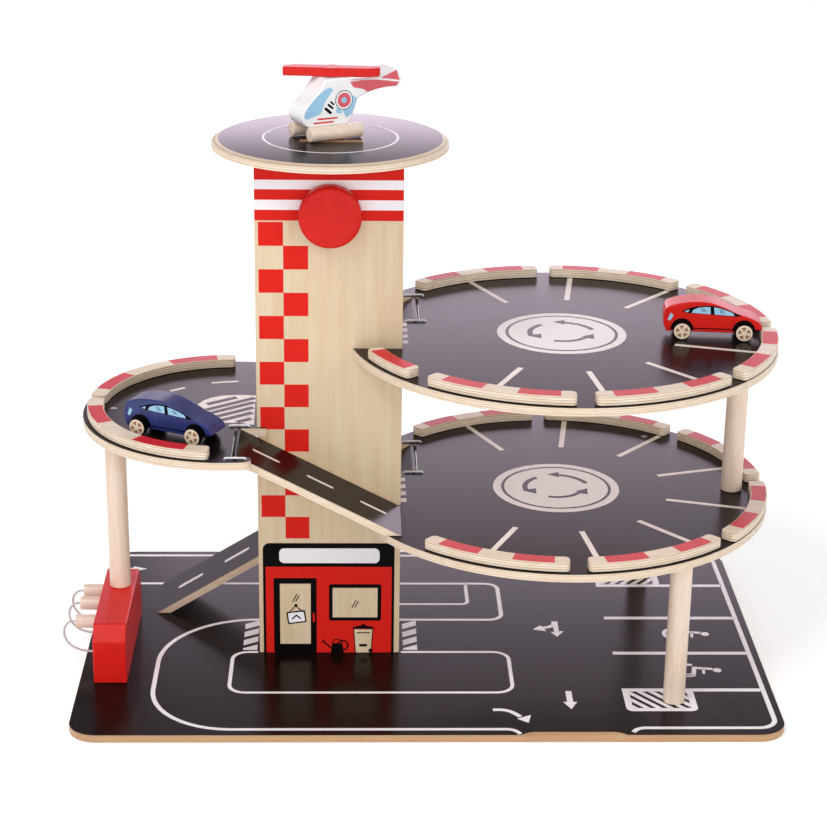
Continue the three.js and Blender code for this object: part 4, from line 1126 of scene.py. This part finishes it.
def makeTowerPrint():
    place = standing(Matrix(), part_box("tower_front_panel")[0].y / mm, -1)
    bm = bmesh.new()
    for low, high, finish in tower["stripes"]:
        addPrism(bm, box2(tower["left"] + 0.3, low, tower["right"] - 0.3, high), place=place, finish=finish)
    for outline, holes, low, high, finish in shopFilms():
        addPrism(bm, outline, holes, place, low, high, finish)
    finishes = [redInk, whiteInk, blackInk, birchFace]
    settle(newPiece("tower_front_print", bm, finishes), "root", "printed_panel")
    for column in (0, 1):
        x = tower["checkerLeft"] + column * tower["column"]
        z = tower["checkerTop"] - column * tower["row"]
        for block, (start, count) in enumerate(((z, 6), (z - 12 * tower["row"], 1))):
            bm = bmesh.new()
            addPrism(bm, box2(x, -tower["row"], x + tower["column"], 0), place=place)
            row = repeatShape(f"tower_checker_{column + 1}_{block + 1}", bm, redInk, count, (0, 0, start),
                              (0, 0, -2 * tower["row"]))
            settle(row, "root", "printed_panel")


def glint(x, z, size):
    return [stroke([(x - size, z - size * 1.6), (x + size * 0.3, z + size)], 0.9),
            stroke([(x - size * 0.1, z - size * 1.5), (x + size * 1.0, z + size * 0.7)], 0.9)]


def shopFilms():
    # the printed shop as films of ink: outline, holes, low and high face, finish; a later film is higher
    s = shop
    red, white, black, bare = range(4)
    r = s["radius"]
    front = [(s["right"], s["foot"])] + arc(s["right"] - r, s["top"] - r, r, 0, 90, 8)
    front += arc(s["left"] + r, s["top"] - r, r, 90, 180, 8) + [(s["left"], s["foot"])]
    wall = box2(s["left"] + s["post"], s["foot"], s["right"] - s["post"], s["headerLow"])
    # a hanging card in the door, a can with a spout and a lidded bin by the wall: plain drawings
    tilt, hook = Matrix.Rotation(math.radians(s["cardTilt"]), 2), Vector(s["cardHook"])
    card, inner = ([tuple(tilt @ Vector(p) + hook) for p in roundedBox(-x, -y, x, y, corner)]
                   for x, y, corner in ((8.4, 6.0, 1.4), (7.1, 4.7, 0.9)))
    dome = arc(-54.2, s["lidZ"], 10.0, 4, 176, 12)
    lid = [(x, s["lidZ"] + (z - s["lidZ"]) * s["lidFlat"]) for x, z in dome]
    marks = glint(-113.8, 61.8, 3.0) + glint(-61.5, 56.0, 3.0)
    marks += [stroke(s["cord"], 0.9), circle(-113.9, 53.7, 1.5, 14), stroke(s["cup"], 1.3), s["can"],
              stroke(s["spout"], 1.3), stroke(s["rose"], 0.9),
              stroke(arc(-72.6, 14.4, 4.7, -80, 160, 16), 1.3),
              stroke(arc(-77.2, 16.2, 4.4, 5, 175, 12), 0.8)]
    films = [(front, (), -0.02, 0.12, black), (wall, (), 0.1, 0.2, red),
             (roundedBox(*s["sign"], 4.4), (), 0.1, 0.2, white),
             (roundedBox(*s["door"], 1.5), (), 0.18, 0.26, black), (box2(*s["pane"]), (), 0.24, 0.3, bare),
             (roundedBox(*s["handle"], 0.8), (), 0.24, 0.32, red),
             (roundedBox(*s["window"], 2), (), 0.18, 0.26, black), (box2(*s["glass"]), (), 0.24, 0.3, bare),
             (card, [inner], 0.28, 0.36, black), (inner, (), 0.28, 0.34, white)]
    films += [(outline, (), 0.18, 0.36, black) for outline in marks]
    films += [(s["bin"], (), 0.18, 0.26, black), (s["binFront"], (), 0.24, 0.3, bare),
              (lid, (), 0.24, 0.36, black)]
    films += [(box2(*line), (), 0.26, 0.36, black) for line in s["binLines"]]
    films.append((circle(-47.6, 9.4, 1.9, 16), (), 0.26, 0.36, black))
    return films


makeTowerPrint()
print("tower print made")


def makeHelipadMarks():
    centre, size = middleOf("helipad")
    place = Matrix.Translation((centre.x, centre.y, centre.z + size.z / 2))
    bm = bmesh.new()
    r, w = pad["ring"], pad["ringWidth"]
    addPrism(bm, circle(0, 0, r + w / 2, 96), [circle(0, 0, r - w / 2, 96)], place)
    addPrism(bm, box2(*pad["bar"]), place=place, finish=1)
    settle(newPiece("helipad_marks", bm, [whiteInk, brownInk]), "root", "black_painted_board")


makeHelipadMarks()

# The two cars

car = dict(length=84.6, height=32.3, width=24.0, overhang=15.9, wheelBase=53.1, wheelRadius=7.7,
           wheelThickness=6.0, wheelGap=0.6, edge=1.5,
           side=[(0.03, 0.17), (0, 0.36), (0, 0.62), (0.017, 0.79), (0.072, 0.88), (0.184, 0.96), (0.324, 1),
                 (0.463, 0.985), (0.603, 0.867), (0.742, 0.703), (0.853, 0.616), (0.952, 0.502), (0.99, 0.4),
                 (1, 0.3), (0.985, 0.272), (0.93, 0.262), (0.895, 0.17)],
           frameLine=[(-0.9, 24.0), (5.5, 26.8), (11.3, 28.3), (17.1, 29.1), (22.9, 29.4), (27.3, 29.2),
                      (34.8, 27.4), (42.3, 24.6), (50.8, 21.0), (45.5, 20.4), (36.7, 20.8), (27.8, 21.3),
                      (17.5, 21.9), (7.9, 22.1), (4.6, 22.2)],
           quarter=[(1.5, 24.0), (5.7, 25.5), (4.6, 22.9)],
           rearPane=[(7.5, 22.7), (9.2, 25.5), (12.8, 27.2), (17.9, 28.1), (23.4, 28.4), (24.0, 21.9),
                     (16, 22.2)],
           frontPane=[(26.5, 28.2), (31.8, 27.3), (38.6, 25.2), (42.9, 23.4), (44.4, 21.0), (35.2, 21.3),
                      (27.3, 21.7)],
           lamp=[(-10.2, 22.2), (-7.8, 20.0), (-10.2, 15.0), (-12.5, 15.7)], archRadius=9.7,
           glint=[(-2, 1.6), (-0.6, 0.1), (-0.9, -0.2), (0.8, -1.7)], glintWidth=0.5,
           glints=((17.5, 25.4), (19.4, 25.4), (33.2, 24.6), (35.1, 24.6)), sillLine=(9.5, 8.2, 44.1, 9.2))


def carPlace(name):
    rear, front = middleOf(f"{name}_rear_wheels")[0], middleOf(f"{name}_front_wheels")[0]
    heading = math.degrees(math.atan2(front.y - rear.y, front.x - rear.x))
    return upright(rear.x, rear.y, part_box(f"{name}_rear_wheels")[0].z / mm, heading)


def makeSawnBody(name, outline, size, place, finish):
    # a board sawn to an outline of (along, up), with its edges rounded over
    half = size["width"] / 2
    bm = bmesh.new()
    sides = [[bm.verts.new((place @ Vector((x, y, z))) * mm) for x, z in outline] for y in (-half, half)]
    bm.faces.new(sides[0])
    bm.faces.new(sides[1][::-1])
    bridge(bm, *sides)
    bmesh.ops.recalc_face_normals(bm, faces=bm.faces)
    return softenEdges(newPiece(name, bm, [finish], 50), size["edge"], 4, 50)


def makeCarBody(name, place, paint, slot):
    points = [(x * car["length"] - car["overhang"], z * car["height"]) for x, z in car["side"]]
    outline = [tuple(p) for p in spline(points, 5)]
    settle(makeSawnBody(f"painted_{name}", outline, car, place, paint), name, slot, f"{name}_body")


def makeCarPrint(name, place, slot):
    bm = bmesh.new()
    half = car["width"] / 2
    low = car["side"][0][1] * car["height"] + car["edge"]
    for y, flip in ((-half, -1), (half, 1)):
        plane = standing(place, y, flip)
        addPrism(bm, car["frameLine"], place=plane)
        for pane in ("quarter", "rearPane", "frontPane", "lamp"):
            addPrism(bm, car[pane], place=plane, high=0.18, finish=1)
        for x, z in car["glints"]:
            line = [(x + a, z + b) for a, b in car["glint"]]
            addPrism(bm, stroke(line, car["glintWidth"]), place=plane, high=0.24)
        for x in (0, car["wheelBase"]):
            # the printed arch behind a wheel is a disc cut off at the body's lower edge
            disc = circle(x, car["wheelRadius"], car["archRadius"], 48)
            addPrism(bm, clipBand(disc, low, 99), place=plane)
        addPrism(bm, box2(*car["sillLine"]), place=plane)
    settle(newPiece(f"{name}_print", bm, [blackInk, skyInk]), name, slot)


def makeWheels(name, place, axleX, body):
    bm = bmesh.new()
    centre = place @ Vector((axleX, 0, car["wheelRadius"]))
    inner = car["width"] / 2 + car["wheelGap"]
    outer = inner + car["wheelThickness"]
    r = car["wheelRadius"]
    side = place.to_3x3() @ Vector((0, 1, 0))
    for sign in (-1, 1):
        turn = along(side * sign, centre)
        profile = [(0, inner), (r - 0.6, inner), (r - 0.15, inner + 0.15), (r, inner + 0.6), (r, outer - 0.7),
                   (r - 0.2, outer - 0.2), (r - 0.7, outer), (1.3, outer), (1.1, outer - 0.25),
                   (0, outer - 0.25)]
        addLathe(bm, profile, turn, 40, 3, rims={6: 0, 7: 0, 8: 0})
        for k in range(5):
            a = 90 + 72 * k
            mark = arc(0, 0, 5.3, a - 24, a + 24, 6) + arc(0, 0, 2.2, a + 13, a - 13, 3)
            addPrism(bm, mark, place=turn @ Matrix.Translation((0, 0, outer)), high=0.05, finish=1)
    addLathe(bm, roundedRod(1.0, -inner, inner, 0.2), along(side, centre), 16, 2)
    piece = evenlyShaded(newPiece(f"turned_{name}", bm, [wheelWood, brownInk, steelWire, blackInk]))
    settle(piece, body, "turned_beech", name)


def makeCar(colour, paint):
    name = f"{colour}_car"
    place = carPlace(name)
    makeCarBody(name, place, paint, f"{colour}_paint")
    makeCarPrint(name, place, f"{colour}_paint")
    for end, axleX in (("rear", 0), ("front", car["wheelBase"])):
        makeWheels(f"{name}_{end}_wheels", place, axleX, f"{colour}_{end}_wheels")


makeCar("red", redPaint)
makeCar("blue", bluePaint)
print("cars made")

# The helicopter

craft = dict(place=(-85.9, 3.0), turn=28.0, length=94.0, height=42.2, width=25.0, rise=11.7, nose=29.9,
             edge=1.3,
             skidRadius=6.0, skidLength=48.0, smooth=8,
             side=[(0.063, 0), (0.022, 0.07), (0.002, 0.17), (0.006, 0.28), (0.038, 0.4), (0.096, 0.51),
                   (0.152, 0.64), (0.205, 0.8), (0.245, 0.917), (0.455, 0.917), (0.486, 0.86), (0.64, 0.862),
                   (0.8, 0.85), (0.957, 1), (1, 0.756), (0.962, 0.64), (0.84, 0.648), (0.72, 0.622),
                   (0.655, 0.575), (0.556, 0.5), (0.497, 0.1), (0.438, 0)],
             nosePane=[(-28.0, 20.9), (-26.6, 25.0), (-21.9, 31.5), (-15.1, 37.8), (-8.3, 42.3), (-3.6, 43.8),
                       (-1.2, 41.1), (-4.8, 36.8), (-9.1, 31.1), (-11.3, 25.1), (-13.0, 22.2), (-19.4, 20.5),
                       (-25.3, 18.6)],
             rearPane=[(15.6, 35.2), (21.0, 33.0), (19.5, 27.6), (16.0, 19.6), (10.8, 17.2), (8.0, 23.0),
                       (13.6, 25.6), (16.2, 30.2)],
             lowPane=[(1.7, 26.4), (6.9, 23.3), (6.7, 20.5), (1.6, 22.2)],
             porthole=(9.0, 31.9, 7.6, 6.1, 2.5),
             slots=((-8.0, 26.1, -3.6, 22.4, 2.4), (-5.5, 29.2, -1.8, 26.2, 1.9),
                    (-3.2, 31.4, -0.8, 29.3, 1.5)),
             bars=((-15.1, 18.0, 2.4, 17.7), (-18.8, 14.9, -1.3, 14.7)), barWidth=1.3,
             tail=[(14.6, 46.4), (26.1, 46.9), (38.3, 46.5), (60.8, 42.6), (58.6, 39.6), (48.0, 39.3),
                   (40.1, 38.5), (31.4, 36.6), (26.6, 39.6), (17.9, 41.6)],
             fin=[(43.6, 47.4), (58.4, 52.8), (61.4, 44.0), (52.3, 45.7)])


def makeCraftBody(place):
    points = [(x * craft["length"] - craft["nose"], z * craft["height"] + craft["rise"])
              for x, z in craft["side"]]
    smooth = craft["smooth"]
    outline = [tuple(p) for p in spline(points[:smooth], 5)] + points[smooth:]
    piece = makeSawnBody("painted_helicopter", outline, craft, place, whitePaint)
    settle(piece, "helicopter", "white_paint", "helicopter_body")


def makeCraftPrint(place):
    bm = bmesh.new()
    half = craft["width"] / 2
    x, z, outer, red, centre = craft["porthole"]
    # the porthole's discs, each a film over the one before: radius, steps, low and high face, finish
    discs = ((outer + 0.6, 40, 0.1, 0.16, 2), (outer, 40, 0.14, 0.2, 3), (red, 40, 0.18, 0.24, 1),
             (centre, 32, 0.22, 0.28, 0))
    for y, flip in ((-half, -1), (half, 1)):
        plane = standing(place, y, flip)
        for pane, finish in (("nosePane", 0), ("rearPane", 0), ("lowPane", 0), ("tail", 1), ("fin", 1)):
            addPrism(bm, craft[pane], place=plane, finish=finish)
        for radius, steps, low, high, finish in discs:
            addPrism(bm, circle(x, z, radius, steps), place=plane, low=low, high=high, finish=finish)
        for slot in craft["slots"]:
            addPrism(bm, dash(*slot), place=plane, finish=2)
        for bar in craft["bars"]:
            addPrism(bm, dash(*bar, craft["barWidth"]), place=plane, finish=4)
    finishes = [skyInk, roseInk, blackInk, whiteInk, redInk]
    settle(newPiece("helicopter_print", bm, finishes), "helicopter", "white_paint")


def makeSkids(place):
    axis = place.to_3x3() @ Vector((1, 0, 0))
    for node in ("helicopter_left_skid", "helicopter_right_skid"):
        makeRod("beech", node, axis, craft["skidRadius"], craft["skidLength"], 0.7, 48, turnedBeechX,
                "helicopter", "turned_beech")


def makeRotor():
    piece = newPiece("painted_rotor", weldedCopy("helicopter_rotor"), [redPaint], 30)
    settle(softenEdges(piece, 0.8, 3, 30), "rotor", "red_paint", "helicopter_rotor")


def makeHelicopter():
    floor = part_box("helicopter_left_skid")[0].z / mm
    place = upright(*craft["place"], floor, craft["turn"])
    makeCraftBody(place)
    makeCraftPrint(place)
    makeSkids(place)
    makeRotor()
    print("helicopter made")


makeHelicopter()

# Floor, studio and light

studio = dict(floorColour="#f4f4f5", floorHalf=60, floorDrop=0.2, nearGlow=0.38, farGlow=0.5,
              glowTurns=(0.7, 1.6), worldDiffuse=1.14, softTurns=(0.45, 0.66), softCeiling=0.2,
              wall=(0.92, 0.78, 0.92, 1), skyTurns=(0.4, 0.49), ceiling=0.03)


def directRays(tree, path):
    # 1 for the camera and for mirror and glass rays, 0 for soft light
    kinds = ("Camera", "Glossy", "Transmission")
    camera, glossy, through = (path.outputs[f"Is {kind} Ray"] for kind in kinds)
    either = addNode(tree, "ShaderNodeMath", {"operation": "MAXIMUM"}, links={0: camera, 1: glossy})
    return addNode(tree, "ShaderNodeMath", {"operation": "MAXIMUM"}, links={0: either.outputs[0], 1: through})


def makeFloor():
    bm = bmesh.new()
    size, drop = studio["floorHalf"], studio["floorDrop"] * mm
    bm.faces.new([bm.verts.new((x * size, y * size, -drop)) for x, y in box2(-1, -1, 1, 1)])
    material, tree, shader = startMaterial("paleStudioFloor", Roughness=0.9, Specular_IOR_Level=0.0,
                                           Base_Color=linear(studio["floorColour"]),
                                           Emission_Color=(1, 1, 1, 1))
    # the floor glows less near the part, so that its shadow still shows
    place = addNode(tree, "ShaderNodeTexCoord")
    away = addNode(tree, "ShaderNodeVectorMath", {"operation": "LENGTH"}, links={0: place.outputs["Object"]})
    low, high = studio["glowTurns"]
    span = {"From Min": low, "From Max": high, "To Min": studio["nearGlow"], "To Max": studio["farGlow"]}
    level = addNode(tree, "ShaderNodeMapRange", values=span, links={"Value": away.outputs["Value"]})
    seen = directRays(tree, addNode(tree, "ShaderNodeLightPath"))
    glow = addNode(tree, "ShaderNodeMath", {"operation": "MULTIPLY"},
                   links={0: seen.outputs[0], 1: level.outputs["Result"]})
    tree.links.new(glow.outputs[0], shader.inputs["Emission Strength"])
    newPiece("studio_floor", bm, [material])


def makeWorld():
    world = bpy.data.worlds.new("studio")
    bpy.context.scene.world = world
    world.use_nodes = True
    tree = world.node_tree
    tree.nodes.clear()
    path = addNode(tree, "ShaderNodeLightPath")
    place = addNode(tree, "ShaderNodeTexCoord")
    split = addNode(tree, "ShaderNodeSeparateXYZ", links={"Vector": place.outputs["Generated"]})
    low, high = studio["skyTurns"]
    wall = ramp(tree, split.outputs["Z"], [(low, studio["wall"]), (high, studio["ceiling"])])
    seenWall = blendColours(tree, path.outputs["Is Camera Ray"], wall, (1, 1, 1, 1))
    low, high = studio["softTurns"]
    glow = ramp(tree, split.outputs["Z"], [(low, 1.0), (high, studio["softCeiling"])])
    soft = addNode(tree, "ShaderNodeBackground", values={"Strength": studio["worldDiffuse"]},
                   links={"Color": glow})
    seen = addNode(tree, "ShaderNodeBackground", values={"Strength": 1.0}, links={"Color": seenWall})
    direct = directRays(tree, path)
    mix = addNode(tree, "ShaderNodeMixShader",
                  links={0: direct.outputs[0], 1: soft.outputs[0], 2: seen.outputs[0]})
    addNode(tree, "ShaderNodeOutputWorld", links={"Surface": mix.outputs[0]})


def addLamp(name, place, aim, size, power, colour=(1, 1, 1)):
    data = bpy.data.lights.new(name, "AREA")
    data.shape = "RECTANGLE"
    data.size, data.size_y = size
    data.energy = power
    data.color = colour
    lamp = bpy.data.objects.new(name, data)
    lamp.location = place
    lamp.rotation_euler = (Vector(aim) - Vector(place)).to_track_quat("-Z", "Y").to_euler()
    lamp.visible_camera = False
    bpy.context.collection.objects.link(lamp)


makeFloor()
makeWorld()
addLamp("keyLamp", (-1.2, -1.3, 2.6), (0, 0, 0.2), (1.2, 1.2), 31)
addLamp("fillLamp", (1.8, -1.8, 1.3), (0, 0, 0.2), (1.4, 1.4), 8)
addLamp("frontBank", (0, -3.0, 0.5), (0, 0, 0.15), (3.0, 0.8), 13)
addLamp("backSoftbox", (0.35, 2.2, 0.53), (0.35, 0, 0.53), (1.7, 1.0), 14.5, (1.0, 0.86, 1.0))
bpy.context.scene.view_settings.view_transform = "Standard"
print("studio set")
